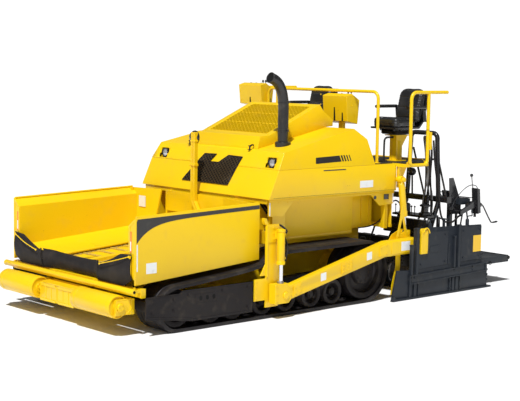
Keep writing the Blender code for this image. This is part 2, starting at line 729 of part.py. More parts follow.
def tow_slider():
    """Carriage of one tow point, with the cylinder's rod and the tow pin."""
    inner = ARM_INNER
    front = box((1.20, inner, 0.20), (1.27, 1.59, 0.45))
    top = box((1.05, inner, 0.410), (1.27, 1.59, 0.45))
    cheek = box((1.00, ARM_OUTER + CLEAR, 0.20), (1.27, 1.59, 0.45))
    pin = drum((TOW_X, inner + 0.005, TOW_Z), (TOW_X, 1.58, TOW_Z), 0.028, 14)
    rod = drum((CYLINDER_X, CYLINDER_Y, 0.44), (CYLINDER_X, CYLINDER_Y, 0.855), TOW_ROD_R, 14)
    return fuse(front, top, cheek, pin, rod)


def tow_arm():
    """Long arm from the tow pin to the screed."""
    eye = arc((TOW_X, TOW_Z), 0.09, -95, 80, 8)
    outline = eye + [(-0.736, 0.824), (-1.30, 0.837), (-1.76, 0.74), (-2.10, 0.58), (-2.10, 0.40),
                     (-1.76, 0.50), (-1.30, 0.625), (-0.736, 0.613)]
    arm = prism(outline, ARM_INNER, ARM_OUTER)
    return cut(arm, bore((TOW_X, ARM_INNER - 0.1, TOW_Z), (TOW_X, ARM_OUTER + 0.1, TOW_Z), 0.028))


# ================================================================ screed
GUIDE_X = -2.16
GUIDE_Z = 0.545
GUIDE_R = 0.045


def channel(front, rear, top):
    """Side outline of a screed box: sole plate, upright nose and top plate, open at the rear."""
    wall = 0.04
    return [(front - 0.05, 0), (rear, 0), (rear, wall), (front - 0.06, wall), (front - wall, 0.09),
            (front - wall, top - wall), (rear, top - wall), (rear, top), (front, top), (front, 0.06)]


def main_screed():
    """Fixed centre screed with its end plates and the guide tube of the extensions."""
    rear = SCREED_FRONT - SCREED_DEPTH
    body = prism(channel(SCREED_FRONT, rear, SCREED_TOP), -SCREED_HALF, SCREED_HALF)
    for side in (-1, 1):
        low, high = sorted((side * (SCREED_HALF - 0.03), side * SCREED_HALF))
        end = prism([(SCREED_FRONT - 0.02, 0.03), (rear - 0.02, 0.03), (rear - 0.02, 0.63),
                     (rear + 0.12, 0.63), (SCREED_FRONT - 0.02, SCREED_TOP)], low, high)
        body = fuse(body, end)
    reach = SCREED_HALF - 0.01
    guide = drum((GUIDE_X, -reach, GUIDE_Z), (GUIDE_X, reach, GUIDE_Z), GUIDE_R, 16)
    return fuse(body, guide)


def extension():
    """Left sliding extension: a box behind the main screed, with its sleeve and walkway."""
    front = SCREED_FRONT - SCREED_DEPTH - 0.05
    rear = front - EXTENSION_DEPTH
    low, high = 0.010, SCREED_OUTER - GATE - GAP
    wall = 0.04
    outline = [(rear, 0), (front - 0.03, 0), (front - 0.03, wall), (rear + wall, wall),
               (rear + wall, SCREED_TOP - wall), (front, SCREED_TOP - wall),
               (front, SCREED_TOP), (rear, SCREED_TOP)]
    body = prism(outline, low, high)
    sleeve = box((GUIDE_X - 0.075, 0.04, SCREED_TOP + CLEAR), (GUIDE_X + 0.075, 0.26, 0.64))
    bridge = box((front - 0.10, 0.05, SCREED_TOP + CLEAR + 0.002), (GUIDE_X - 0.06, 0.25, 0.50))
    foot = box((front - 0.09, 0.06, SCREED_TOP - 0.01), (front - 0.012, 0.24, SCREED_TOP + CLEAR + 0.01))
    sleeve = cut(fuse(sleeve, bridge, foot),
                 drum((GUIDE_X, -0.2, GUIDE_Z), (GUIDE_X, 0.5, GUIDE_Z), GUIDE_R + BORE_GAP, 16))
    post = box((rear, 0.95, SCREED_TOP - 0.01), (rear + 0.06, 1.01, 1.20))
    desk = box((rear - 0.04, 0.80, 1.18), (rear + 0.16, 1.30, 1.26))
    walkway = box((WALKWAY_REAR, 0.03, 0.34), (rear + 0.01, 1.48, 0.38))
    return fuse(body, sleeve, post, desk, walkway)


def end_gate():
    """Plate that closes the end of the mat, with its rail and its upright stiffeners."""
    inner = SCREED_OUTER - GATE
    outline = [(-0.835, 0.0), (-2.85, 0.0), (-2.85, 0.36), (-2.69, 0.37), (-2.69, 0.92), (-2.02, 0.945),
               (-1.31, 0.965), (-1.27, 0.965), (-1.27, 0.39), (-0.935, 0.416)]
    return prism(outline, inner, SCREED_OUTER)


def hose_frame():
    """Portal of black tube over the screed that holds up the hoses."""
    x, foot, top = -2.32, 0.63, 2.20
    ends = SCREED_TOP + GAP
    step = x + 0.33
    line = [(step, 0.45, ends), (step, 0.45, ends + 0.10), (x, 0.50, 1.25), (x, 0.55, top - 0.08),
            (x, 0.63, top), (x, 0.97, top), (x, 1.05, top - 0.08), (x, 1.10, 1.25),
            (step, 1.15, ends + 0.10), (step, 1.15, ends)]
    portal = tube(line, 0.035)
    beam = box((x - 0.04, -1.30, 1.22), (x + 0.04, 1.30, 1.30))
    far = tube([(x, -1.10, 1.26), (step, -1.15, ends + 0.10), (step, -1.15, ends)], 0.035)
    return fuse(portal, beam, far)


# ================================================================ augers
def auger_carrier():
    """Chain case behind the frame and the beam that the augers hang from."""
    half = 0.09
    case = box((AUGER_X - 0.10, -half, 0.24), (FRAME_REAR - GAP, half, 0.70))
    beam = box((AUGER_X - 0.06, -1.40, AUGER_Z + AUGER_R + 0.04), (AUGER_X + 0.06, 1.40, 0.68))
    frame = fuse(case, beam, box((AUGER_X, -0.50, 0.60), (FRAME_REAR - GAP, 0.50, 0.68)))
    for side in (-1, 1):
        ends = [(AUGER_X, side * y, AUGER_Z) for y in (half - 0.01, half + 0.08)]
        frame = fuse(frame, drum(ends[0], ends[1], AUGER_PIN_R, 12))
    return frame


def auger():
    """One screw: a tube with a flight wound round it."""
    start, end = 0.09 + CLEAR, AUGER_END
    shaft = drum((AUGER_X, start, AUGER_Z), (AUGER_X, end, AUGER_Z), 0.045, 12)
    shaft = cut(shaft, bore((AUGER_X, start - 0.1, AUGER_Z), (AUGER_X, start + 0.10, AUGER_Z), AUGER_PIN_R))
    turns, steps, half = 3.5, 14, 0.009
    count = int(turns * steps)
    work = bmesh.new()
    rows = []
    for i in range(count + 1):
        angle = 2 * pi * i / steps
        y = start + 0.05 + (end - start - 0.10) * i / count
        ring = []
        for radius, shift in ((0.035, -half), (AUGER_R, -half), (AUGER_R, half), (0.035, half)):
            place = (AUGER_X + radius * cos(angle), y + shift, AUGER_Z + radius * sin(angle))
            ring.append(work.verts.new(place))
        rows.append(ring)
    for one, two in zip(rows, rows[1:]):
        for k in range(4):
            work.faces.new((one[k], one[(k + 1) % 4], two[(k + 1) % 4], two[k]))
    work.faces.new(rows[0][::-1])
    work.faces.new(rows[-1])
    bmesh.ops.recalc_face_normals(work, faces=work.faces)
    mesh = bpy.data.meshes.new("flight")
    work.to_mesh(mesh)
    work.free()
    return fuse(shaft, solid("flight", mesh))


# ================================================================ lift cylinders
def along_lift(share):
    """A point on the lift cylinder's axis: 0 at its top pin, 1 at its rod's eye."""
    top, eye = LIFT_TOP, LIFT_EYE
    return (top[0] + (eye[0] - top[0]) * share, LIFT_Y, top[1] + (eye[1] - top[1]) * share)


def lift_barrel():
    head = wheel(LIFT_TOP[0], LIFT_TOP[1], 0.050, LIFT_Y - 0.03, LIFT_Y + 0.03, 16)
    x, z = LIFT_TOP
    body = fuse(head, drum(along_lift(0.05), along_lift(0.70), LIFT_BARREL_R, 16))
    body = cut(body, bore(along_lift(0.12), along_lift(0.80), LIFT_ROD_R))
    return cut(body, bore((x, LIFT_Y - 0.1, z), (x, LIFT_Y + 0.1, z), LIFT_PIN_R))


def lift_rod():
    rod = drum(along_lift(0.45), along_lift(0.97), LIFT_ROD_R, 12)
    eye = wheel(LIFT_EYE[0], LIFT_EYE[1], 0.038, LIFT_Y - 0.025, LIFT_Y + 0.025, 16)
    hole = wheel(LIFT_EYE[0], LIFT_EYE[1], LIFT_PIN_R, LIFT_Y - 0.1, LIFT_Y + 0.1, 12)
    return cut(fuse(rod, eye), hole)


# ================================================================ the whole machine
def build():
    node("main_frame", main_frame(), YELLOW)
    pair("track", track(), RUBBER)
    pair("undercarriage", undercarriage(), BLACK)
    pair("track_guard", track_guard(), BLACK)
    node("conveyor_floor", conveyor_floor(), YELLOW)
    node("engine", engine(), BLACK)
    node("engine_hood", engine_hood(), YELLOW)
    node("upper_hood", fuse(upper_hood(), *lid_hinge_blocks()), YELLOW)
    node("front_grille", front_grille(), BLACK)
    node("exhaust_stack", exhaust_stack(), BLACK)
    node("centre_mast", centre_mast(), YELLOW)
    pair("side_frame", side_frame(), YELLOW)
    node("operator_deck", operator_deck(), YELLOW)
    pair("guard_rail", guard_rail(), YELLOW)
    node("front_handrail", front_handrail(), YELLOW)
    node("side_console", side_console(), YELLOW)
    node("centre_flap", centre_flap(), RUBBER)
    pair("tow_post", tow_post(), YELLOW)
    node("auger_carrier", auger_carrier(), BLACK)

    node("grille_lid", grille_lid(), YELLOW, pivot("lid_hinge", (LID_HINGE[0], 0, LID_HINGE[1])))
    hinges = pivots("wing_hinge", (FRAME_FRONT, HINGE_Y, HINGE_FRONT_Z))
    pair("hopper_wing", hopper_wing(), YELLOW, hinges)
    pair("wing_flap", wing_flap(), RUBBER, hinges)

    push = pivot("push_pivot", (PUSH_PIVOT_X, 0, PUSH_Z))
    node("push_beam", push_beam(), YELLOW, push)
    pair("push_roller", push_roller(), YELLOW, pivots("push_axle", (PUSH_X, 0, PUSH_Z)))

    tow = pivots("tow_pin", (TOW_X, ARM_OUTER, TOW_Z))
    pair("tow_slider", tow_slider(), YELLOW, tow)
    pair("tow_arm", tow_arm(), YELLOW, tow)
    node("main_screed", main_screed(), BLACK, tow[0])
    node("hose_frame", hose_frame(), BLACK, tow[0])
    pair("screed_extension", extension(), BLACK)
    pair("end_gate", end_gate(), BLACK)

    pair("auger", auger(), STEEL, pivots("auger_axle", (AUGER_X, 0, AUGER_Z)))
    pair("lift_barrel", lift_barrel(), YELLOW, pivots("lift_pin", (LIFT_TOP[0], LIFT_Y, LIFT_TOP[1])))
    pair("lift_rod", lift_rod(), CHROME, pivots("lift_eye", (LIFT_EYE[0], LIFT_Y, LIFT_EYE[1])))
    for side, y in SEAT_Y.items():
        piece = seat()
        piece.data.transform(Matrix.Translation((SEAT_X, y, 0)))
        node("seat_" + side, piece, VINYL, pivot("seat_swivel_" + side, (SEAT_X, y, SEAT_BASE)))


clear_scene()
MACHINE = collection("asphalt_paver")
WORKSHOP = collection("workshop")
build()
bpy.data.collections.remove(WORKSHOP)
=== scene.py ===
import json
from math import cos, pi, radians, sin

import bmesh
import bpy
from mathutils import Matrix, Vector, noise
from mathutils.bvhtree import BVHTree

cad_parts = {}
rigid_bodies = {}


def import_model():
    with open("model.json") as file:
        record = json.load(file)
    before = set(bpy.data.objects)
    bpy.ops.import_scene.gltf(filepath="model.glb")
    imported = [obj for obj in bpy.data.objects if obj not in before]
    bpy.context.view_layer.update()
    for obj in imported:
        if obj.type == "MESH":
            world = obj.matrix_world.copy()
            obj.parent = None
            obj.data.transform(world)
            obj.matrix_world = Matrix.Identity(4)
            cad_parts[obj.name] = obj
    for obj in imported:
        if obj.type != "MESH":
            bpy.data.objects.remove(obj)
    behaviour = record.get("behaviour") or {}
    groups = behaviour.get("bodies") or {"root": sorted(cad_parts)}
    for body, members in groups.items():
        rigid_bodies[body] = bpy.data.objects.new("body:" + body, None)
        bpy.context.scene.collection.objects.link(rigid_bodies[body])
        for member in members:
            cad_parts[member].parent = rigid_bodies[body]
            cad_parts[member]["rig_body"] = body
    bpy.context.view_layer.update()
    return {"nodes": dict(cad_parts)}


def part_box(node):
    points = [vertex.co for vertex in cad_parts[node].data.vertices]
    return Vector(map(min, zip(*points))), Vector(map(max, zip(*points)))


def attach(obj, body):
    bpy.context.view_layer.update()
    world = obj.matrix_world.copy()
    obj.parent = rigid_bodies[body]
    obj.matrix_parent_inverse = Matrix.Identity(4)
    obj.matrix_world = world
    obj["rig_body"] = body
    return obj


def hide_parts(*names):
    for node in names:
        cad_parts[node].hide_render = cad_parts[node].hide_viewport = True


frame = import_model()


# ================ studio
# A pale floor that the machine stands on, a soft high sun with an even sky, and
# a camera at head height ahead of the machine's left front corner.
scene = bpy.context.scene
scene.view_settings.view_transform = "Standard"

heading, look_down, roll = radians(-131.787), radians(5.957), radians(0.9007)
ahead = Vector((cos(heading) * cos(look_down), sin(heading) * cos(look_down), -sin(look_down)))
level = Vector((sin(heading), -cos(heading), 0))
down = ahead.cross(level)
right = level * cos(roll) - down * sin(roll)
up = -(level * sin(roll) + down * cos(roll))
camera = bpy.data.objects.new("camera", bpy.data.cameras.new("camera"))
camera.matrix_world = Matrix((right, up, -ahead)).transposed().to_4x4()
camera.location = (11.85, 13.146, 3.138)
camera.data.lens = 89.35
camera.data.sensor_width = 36
camera.data.shift_x, camera.data.shift_y = -0.0027, -0.0021
scene.collection.objects.link(camera)
scene.camera = camera

floor_mesh = bpy.data.meshes.new("studio_floor")
floor_shape = bmesh.new()
bmesh.ops.create_circle(floor_shape, cap_ends=True, segments=96, radius=60)
floor_shape.to_mesh(floor_mesh)
floor_shape.free()
studio_floor = bpy.data.objects.new("studio_floor", floor_mesh)
scene.collection.objects.link(studio_floor)
floor_look = bpy.data.materials.new("studio_floor")
floor_look.use_nodes = True
floor_shader = floor_look.node_tree.nodes["Principled BSDF"]
floor_shader.inputs["Base Color"].default_value = (0.93, 0.93, 0.93, 1)
floor_shader.inputs["Roughness"].default_value = 0.9
floor_mesh.materials.append(floor_look)

sky = bpy.data.worlds.new("studio_sky")
sky.use_nodes = True
backdrop = sky.node_tree.nodes["Background"]
backdrop.inputs["Color"].default_value = (1.0, 1.0, 1.0, 1)
seen = sky.node_tree.nodes.new("ShaderNodeLightPath")
glow = sky.node_tree.nodes.new("ShaderNodeMapRange")
glow.inputs["To Min"].default_value, glow.inputs["To Max"].default_value = 0.16, 1.05
sky.node_tree.links.new(seen.outputs["Is Camera Ray"], glow.inputs["Value"])
sky.node_tree.links.new(glow.outputs["Result"], backdrop.inputs["Strength"])
scene.world = sky
for lamp_name, strength, width, place in (("high_sun", 4.0, 3, (2.6, 1.7, 5.0)),
                                          ("front_fill", 0.3, 40, (6.0, 6.0, 3.0))):
    lamp = bpy.data.lights.new(lamp_name, "SUN")
    lamp.energy = strength
    lamp.angle = radians(width)
    lamp_object = bpy.data.objects.new(lamp_name, lamp)
    lamp_object.rotation_euler = Vector(place).to_track_quat("Z", "Y").to_euler()
    scene.collection.objects.link(lamp_object)


# ================ tractor frame
# Welded steel plate: two side plates, floor, engine bed and front beam, painted
# with the rest of the machine. Every corner of a plate is ground a little round.
def mixed(tree, factor, first, second):
    """A colour mix node; first and second are colours or sockets."""
    mix = tree.nodes.new("ShaderNodeMix")
    mix.data_type = "RGBA"
    tree.links.new(factor, mix.inputs["Factor"])
    for socket, value in ((mix.inputs[6], first), (mix.inputs[7], second)):
        if isinstance(value, tuple):
            socket.default_value = (*value, 1)
        else:
            tree.links.new(value, socket)
    return mix.outputs[2]


def band(tree, value, low, high):
    """0 below low and 1 above high, for a value from a texture."""
    ramp = tree.nodes.new("ShaderNodeMapRange")
    ramp.interpolation_type = "SMOOTHSTEP"
    ramp.inputs["From Min"].default_value = low
    ramp.inputs["From Max"].default_value = high
    tree.links.new(value, ramp.inputs["Value"])
    return ramp.outputs["Result"]


def grain(tree, scale, detail=4, stretch=(1, 1, 1)):
    """Noise on the piece's own coordinates."""
    place = tree.nodes.new("ShaderNodeTexCoord")
    turn = tree.nodes.new("ShaderNodeMapping")
    turn.inputs["Scale"].default_value = stretch
    texture = tree.nodes.new("ShaderNodeTexNoise")
    texture.inputs["Scale"].default_value = scale
    texture.inputs["Detail"].default_value = detail
    tree.links.new(place.outputs["Object"], turn.inputs["Vector"])
    tree.links.new(turn.outputs["Vector"], texture.inputs["Vector"])
    return texture.outputs["Fac"]


def new_look(name, roughness, metallic=0.0, coat=0.0):
    """A material with its shader, and the tree to build on."""
    look = bpy.data.materials.new(name)
    look.use_nodes = True
    shader = look.node_tree.nodes["Principled BSDF"]
    shader.inputs["Roughness"].default_value = roughness
    shader.inputs["Metallic"].default_value = metallic
    shader.inputs["Coat Weight"].default_value = coat
    shader.inputs["Coat Roughness"].default_value = 0.12
    return look, look.node_tree, shader


def ripple(tree, shader, height, strength, distance):
    """Surface relief from a texture."""
    bump = tree.nodes.new("ShaderNodeBump")
    bump.inputs["Strength"].default_value = strength
    bump.inputs["Distance"].default_value = distance
    tree.links.new(height, bump.inputs["Height"])
    tree.links.new(bump.outputs["Normal"], shader.inputs["Normal"])


def gloss(tree, shader, texture, low, high):
    """Roughness that follows a texture between two values."""
    reach = tree.nodes.new("ShaderNodeMapRange")
    reach.inputs["To Min"].default_value = low
    reach.inputs["To Max"].default_value = high
    tree.links.new(texture, reach.inputs["Value"])
    tree.links.new(reach.outputs["Result"], shader.inputs["Roughness"])


def paint(name, fresh, faded, chipped, roughness, coat=0.1, chips=0.72, peel=0.25, shine=0.35):
    """Sprayed paint: slow fading, dust in patches, orange peel and small chips."""
    look, tree, shader = new_look(name, roughness, coat=coat)
    shader.inputs["Specular IOR Level"].default_value = shine
    patches, dust, specks = grain(tree, 0.9, 3), grain(tree, 7, 6), grain(tree, 46, 5)
    colour = mixed(tree, band(tree, patches, 0.35, 0.7), fresh, faded)
    dusty = tuple(0.94 * a + 0.06 * b for a, b in zip(faded, (0.4, 0.33, 0.22)))
    colour = mixed(tree, band(tree, dust, 0.52, 0.8), colour, dusty)
    colour = mixed(tree, band(tree, specks, chips, chips + 0.03), colour, chipped)
    tree.links.new(colour, shader.inputs["Base Color"])
    gloss(tree, shader, dust, roughness * 0.75, roughness * 1.35)
    ripple(tree, shader, grain(tree, 160, 2), peel, 0.0006)
    return look


yellow = paint("yellow_paint", (0.86, 0.57, 0.003), (0.84, 0.54, 0.005), (0.5, 0.3, 0.02), 0.34)
charcoal = paint("charcoal_paint", (0.011, 0.009, 0.01), (0.018, 0.015, 0.015), (0.05, 0.04, 0.035), 0.5,
                 coat=0, shine=0.22)
black_edge = paint("black_paint_worn", (0.016, 0.016, 0.018), (0.026, 0.026, 0.028), (0.09, 0.08, 0.07), 0.38,
                   chips=0.64, shine=0.3)
slate = paint("slate_paint", (0.014, 0.018, 0.025), (0.021, 0.026, 0.033), (0.07, 0.07, 0.07), 0.46, coat=0,
              shine=0.28)


# corners sharper than this are rounded, or else shaded as edges
CORNER = radians(34)


def finished(modified):
    """The mesh of an object with its modifiers applied."""
    bpy.context.view_layer.update()
    return bpy.data.meshes.new_from_object(modified.evaluated_get(bpy.context.evaluated_depsgraph_get()))


def as_piece(name, shape, look, edge=0.003, stands_for=None, body="tractor"):
    """Makes a worked shape a piece of the machine, its corners rounded, riding on a body."""
    mesh = bpy.data.meshes.new(name)
    bmesh.ops.recalc_face_normals(shape, faces=shape.faces)
    shape.to_mesh(mesh)
    shape.free()
    mesh.materials.append(look)
    mesh.shade_smooth()
    made = bpy.data.objects.new(name, mesh)
    scene.collection.objects.link(made)
    if edge:
        round_off = made.modifiers.new("round_off", "BEVEL")
        round_off.width = edge
        round_off.segments = 2
        round_off.limit_method = "ANGLE"
        round_off.angle_limit = CORNER
        round_off.harden_normals = True
        made.data = finished(made)
        made.data.name = name
        made.modifiers.clear()
    else:
        mesh.set_sharp_from_angle(angle=CORNER)
    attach(made, body)
    if stands_for:
        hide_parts(stands_for)
    return made


def node_shape(node):
    """A node's mesh as one welded shape, its flat triangles joined."""
    shape = bmesh.new()
    shape.from_mesh(frame["nodes"][node].data)
    bmesh.ops.remove_doubles(shape, verts=shape.verts, dist=0.0001)
    bmesh.ops.dissolve_limit(shape, angle_limit=radians(0.6), verts=shape.verts[:], edges=shape.edges[:])
    for face in shape.faces:
        face.material_index = 0
    return shape


def rounded_node(node, look, edge=0.004):
    """The part itself with its corners rounded, standing for the plain one."""
    as_piece(node + "_plate", node_shape(node), look, edge, node, frame["nodes"][node]["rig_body"])


def rounded_pair(node, look, edge):
    """The same for a left and a right part."""
    for side in ("left", "right"):
        rounded_node(node + "_" + side, look, edge)


rounded_node("main_frame", yellow)


# ================ tracks
# A smooth rubber belt on each side, moulded round steel cord, with guide lugs
# inside that run between the twin rims of every wheel.
def add_plate(shape, outline, low, high, along="Y"):
    """A flat outline given thickness: XZ points along Y, YZ along X, or XY along Z."""
    order = {"Y": lambda a, b, t: (a, t, b),
             "X": lambda a, b, t: (t, a, b),
             "Z": lambda a, b, t: (a, b, t)}[along]
    near = [shape.verts.new(order(a, b, low)) for a, b in outline]
    far = [shape.verts.new(order(a, b, high)) for a, b in outline]
    count = len(outline)
    shape.faces.new(near[::-1])
    shape.faces.new(far)
    for i in range(count):
        shape.faces.new((near[i], near[(i + 1) % count], far[(i + 1) % count], far[i]))
    return near + far


def add_box(shape, low, high):
    """A box between two corners."""
    (x0, y0, z0), (x1, y1, z1) = low, high
    return add_plate(shape, [(x0, y0), (x1, y0), (x1, y1), (x0, y1)], z0, z1, "Z")


def smooth_line(points, steps=6):
    """A soft curve through points, by Catmull and Rom's rule."""
    points = [Vector(p) for p in points]
    last = len(points) - 1
    line = []
    for i in range(last):
        a, b, c, d = (points[min(max(i + k, 0), last)] for k in (-1, 0, 1, 2))
        for k in range(steps):
            t = k / steps
            line.append(0.5 * ((2 * b) + (c - a) * t + (2 * a - 5 * b + 4 * c - d) * t * t
                               + (3 * b - a - 3 * c + d) * t ** 3))
    return line + [points[-1]]


def add_pipe(shape, points, radius, sides=10):
    """A round bar, tube or hose along a line of points, with closed ends."""
    points = [Vector(p) for p in points]
    rings = []
    side = None
    for i, point in enumerate(points):
        tangent = (points[min(i + 1, len(points) - 1)] - points[max(i - 1, 0)]).normalized()
        if side is None:
            side = tangent.orthogonal().normalized()
        side = (side - tangent * side.dot(tangent)).normalized()
        across = tangent.cross(side)
        rings.append([shape.verts.new(point + (side * cos(a) + across * sin(a)) * radius)
                      for a in (2 * pi * k / sides for k in range(sides))])
    for one, two in zip(rings, rings[1:]):
        for k in range(sides):
            shape.faces.new((one[k], one[(k + 1) % sides], two[(k + 1) % sides], two[k]))
    shape.faces.new(rings[0][::-1])
    shape.faces.new(rings[-1])
    return [v for ring in rings for v in ring]


def add_hose(shape, points, steps, radius, sides=10):
    """A pipe along a soft curve through points."""
    return add_pipe(shape, smooth_line(points, steps), radius, sides)


def add_turned(shape, profile, centre, axis="Y", sides=48):
    """A turned part: (radius, place along its axis) points, closed on themselves or on the axis."""
    axis = {"X": Vector((1, 0, 0)), "Y": Vector((0, 1, 0)), "Z": Vector((0, 0, 1))}.get(axis, axis)
    axis = Vector(axis).normalized()
    side = axis.orthogonal().normalized()
    across = axis.cross(side)
    rings = []
    for radius, place in profile:
        hub = Vector(centre) + axis * place
        if radius < 1e-6:
            rings.append([shape.verts.new(hub)] * sides)
        else:
            rings.append([shape.verts.new(hub + (side * cos(a) + across * sin(a)) * radius)
                          for a in (2 * pi * k / sides for k in range(sides))])
    ends = list(zip(rings, rings[1:]))
    if profile[0][0] > 1e-6:
        ends.append((rings[-1], rings[0]))
    for one, two in ends:
        for k in range(sides):
            corners = [one[k], one[(k + 1) % sides], two[(k + 1) % sides], two[k]]
            corners = [c for i, c in enumerate(corners) if c not in corners[:i]]
            if len(corners) > 2:
                shape.faces.new(corners)


def add_drum(shape, radius, low, high, centre, axis="Y", sides=48):
    """A plain turned disc or pin between two places on its axis."""
    add_turned(shape, [(0, low), (radius, low), (radius, high), (0, high)], centre, axis, sides)


def add_boss(shape, radius, shoulder, tip_radius, tip, centre, axis="Y", sides=48):
    """A turned boss on a face: straight to its shoulder, then narrower to its tip."""
    add_turned(shape, [(0, 0), (radius, 0), (radius, shoulder), (tip_radius, tip), (0, tip)], centre, axis,
               sides)


def side_of(name, side):
    """A body's name on one side; the tractor, the screed and the push beam have no sides."""
    return name if name in ("tractor", "screed", "push_beam") else name + "_" + side


def both_sides(name, look, edge=0.003, stands_for=None, body="tractor"):
    """Runs a function that builds a left piece, and makes that piece and its mirror image."""
    def build(make):
        for side in ("left", "right"):
            shape = bmesh.new()
            make(shape)
            if side == "right":
                bmesh.ops.scale(shape, vec=(1, -1, 1), verts=shape.verts)
                bmesh.ops.reverse_faces(shape, faces=shape.faces)
            as_piece(name + "_" + side, shape, look, edge, stands_for and stands_for + "_" + side,
                     side_of(body, side))
        return make
    return build


def open_tree(name, sizes, result):
    """A node group that takes points, sizes and a finish, and places one thing on every point."""
    tree = bpy.data.node_groups.new(name, "GeometryNodeTree")
    for socket, kind in (("Points", "Geometry"), *sizes, ("Finish", "Material")):
        tree.interface.new_socket(socket, in_out="INPUT", socket_type="NodeSocket" + kind)
    tree.interface.new_socket(result, in_out="OUTPUT", socket_type="NodeSocketGeometry")
    add = tree.nodes.new
    return tree, add, tree.links.new, add("NodeGroupInput"), add("NodeGroupOutput")


def close_tree(add, link, given, thing, turn, result):
    """Places the thing, turned, and gives it the finish."""
    place, real = add("GeometryNodeInstanceOnPoints"), add("GeometryNodeRealizeInstances")
    finish = add("GeometryNodeSetMaterial")
    link(given.outputs["Points"], place.inputs["Points"])
    link(thing, place.inputs["Instance"])
    link(turn.outputs["Rotation"], place.inputs["Rotation"])
    link(place.outputs["Instances"], real.inputs["Geometry"])
    link(real.outputs["Geometry"], finish.inputs["Geometry"])
    link(given.outputs["Finish"], finish.inputs["Material"])
    link(finish.outputs["Geometry"], result.inputs[0])


def blocks_tree():
    """Geometry Nodes: a block on every point, its length along ahead and its width along across."""
    tree, add, link, given, result = open_tree("blocks_in_place", [("Block size", "Vector")], "Blocks")
    block = add("GeometryNodeMeshCube")
    link(given.outputs["Block size"], block.inputs["Size"])
    turn = None
    for axis, attribute in (("X", "ahead"), ("Y", "across")):
        lean, read = add("FunctionNodeAlignRotationToVector"), add("GeometryNodeInputNamedAttribute")
        lean.axis = axis
        if turn:
            lean.pivot_axis = "X"
            link(turn.outputs["Rotation"], lean.inputs["Rotation"])
        read.data_type = "FLOAT_VECTOR"
        read.inputs["Name"].default_value = attribute
        link(read.outputs["Attribute"], lean.inputs["Vector"])
        turn = lean
    close_tree(add, link, given, block.outputs["Mesh"], turn, result)
    return tree


BLOCKS = blocks_tree()


def grown(name, tree, places, settings, look, edge=0.0, body="tractor"):
    """Runs a Geometry Nodes tree on points with directions, and keeps the result as a plain piece."""
    mesh = bpy.data.meshes.new(name)
    mesh.from_pydata([tuple(p) for p, _, _ in places], [], [])
    for attribute, part in (("ahead", 1), ("across", 2)):
        stored = mesh.attributes.new(attribute, "FLOAT_VECTOR", "POINT")
        for i, row in enumerate(places):
            stored.data[i].vector = row[part]
    made = bpy.data.objects.new(name, mesh)
    scene.collection.objects.link(made)
    grow = made.modifiers.new("grow", "NODES")
    grow.node_group = tree
    settings = {**settings, "Finish": look}
    for socket in tree.interface.items_tree:
        if socket.in_out == "INPUT" and socket.name in settings:
            grow[socket.identifier] = settings[socket.name]
    if edge:
        round_off = made.modifiers.new("round_off", "BEVEL")
        round_off.width, round_off.segments = edge, 1
        round_off.limit_method = "ANGLE"
    result = finished(made)
    made.modifiers.clear()
    made.data = result
    result.name = name
    result.shade_smooth()
    result.set_sharp_from_angle(angle=CORNER)
    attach(made, body)


def rubber(name, colour, dusty, roughness):
    """Moulded rubber: dull, greyed by dust in patches, finely pebbled."""
    look, tree, shader = new_look(name, roughness)
    shader.inputs["Specular IOR Level"].default_value = 0.25
    dust = grain(tree, 5, 6)
    colour = mixed(tree, band(tree, dust, 0.42, 0.72), colour, dusty)
    tree.links.new(colour, shader.inputs["Base Color"])
    gloss(tree, shader, dust, roughness * 0.8, min(1, roughness * 1.3))
    ripple(tree, shader, grain(tree, 90, 4), 0.35, 0.0015)
    return look


belt_rubber = rubber("belt_rubber", (0.013, 0.011, 0.012), (0.034, 0.03, 0.028), 0.5)
apron_rubber = rubber("apron_rubber", (0.013, 0.011, 0.012), (0.03, 0.025, 0.022), 0.6)

belt_thick = 0.045
belt_inner, belt_outer = 0.973, 1.43
idler_x, idler_r, drive_x, drive_r = 2.66, 0.28, -0.51, 0.42
support_x, support_top = 0.95, 0.83
roller_r, roller_x = 0.17, (2.127, 1.78, 1.3, 0.91, 0.465, 0.08)


def arc_points(centre, radius, start, end, steps):
    """Points on an arc, angles in degrees."""
    turns = [radians(start + (end - start) * i / steps) for i in range(steps + 1)]
    return [(centre[0] + radius * cos(t), centre[1] + radius * sin(t)) for t in turns]


def belt_loop():
    """The belt's outer side seen from the left: idler, sagging top run, support roller, drive wheel."""
    sag = smooth_line([(2.69, 0.558, 0), (1.75, 0.64, 0), (1.33, 0.705, 0), (0.998, 0.818, 0)], 8)[1:-1]
    return (arc_points((idler_x, idler_r), idler_r, -90, 84, 24) + [(p.x, p.y) for p in sag]
            + arc_points((support_x, support_top - 0.1), 0.1, 62, 90, 4) + arc_points((drive_x, drive_r),
            drive_r, 90, 270, 36))


def belt_inward(loop):
    """Each point of the loop with the direction to the inside of the belt there."""
    rows = []
    for i, (x, z) in enumerate(loop):
        (x0, z0), (x1, z1) = loop[i - 1], loop[(i + 1) % len(loop)]
        tangent = Vector((x1 - x0, 0, z1 - z0)).normalized()
        rows.append((Vector((x, 0, z)), tangent, Vector((-tangent.z, 0, tangent.x))))
    return rows


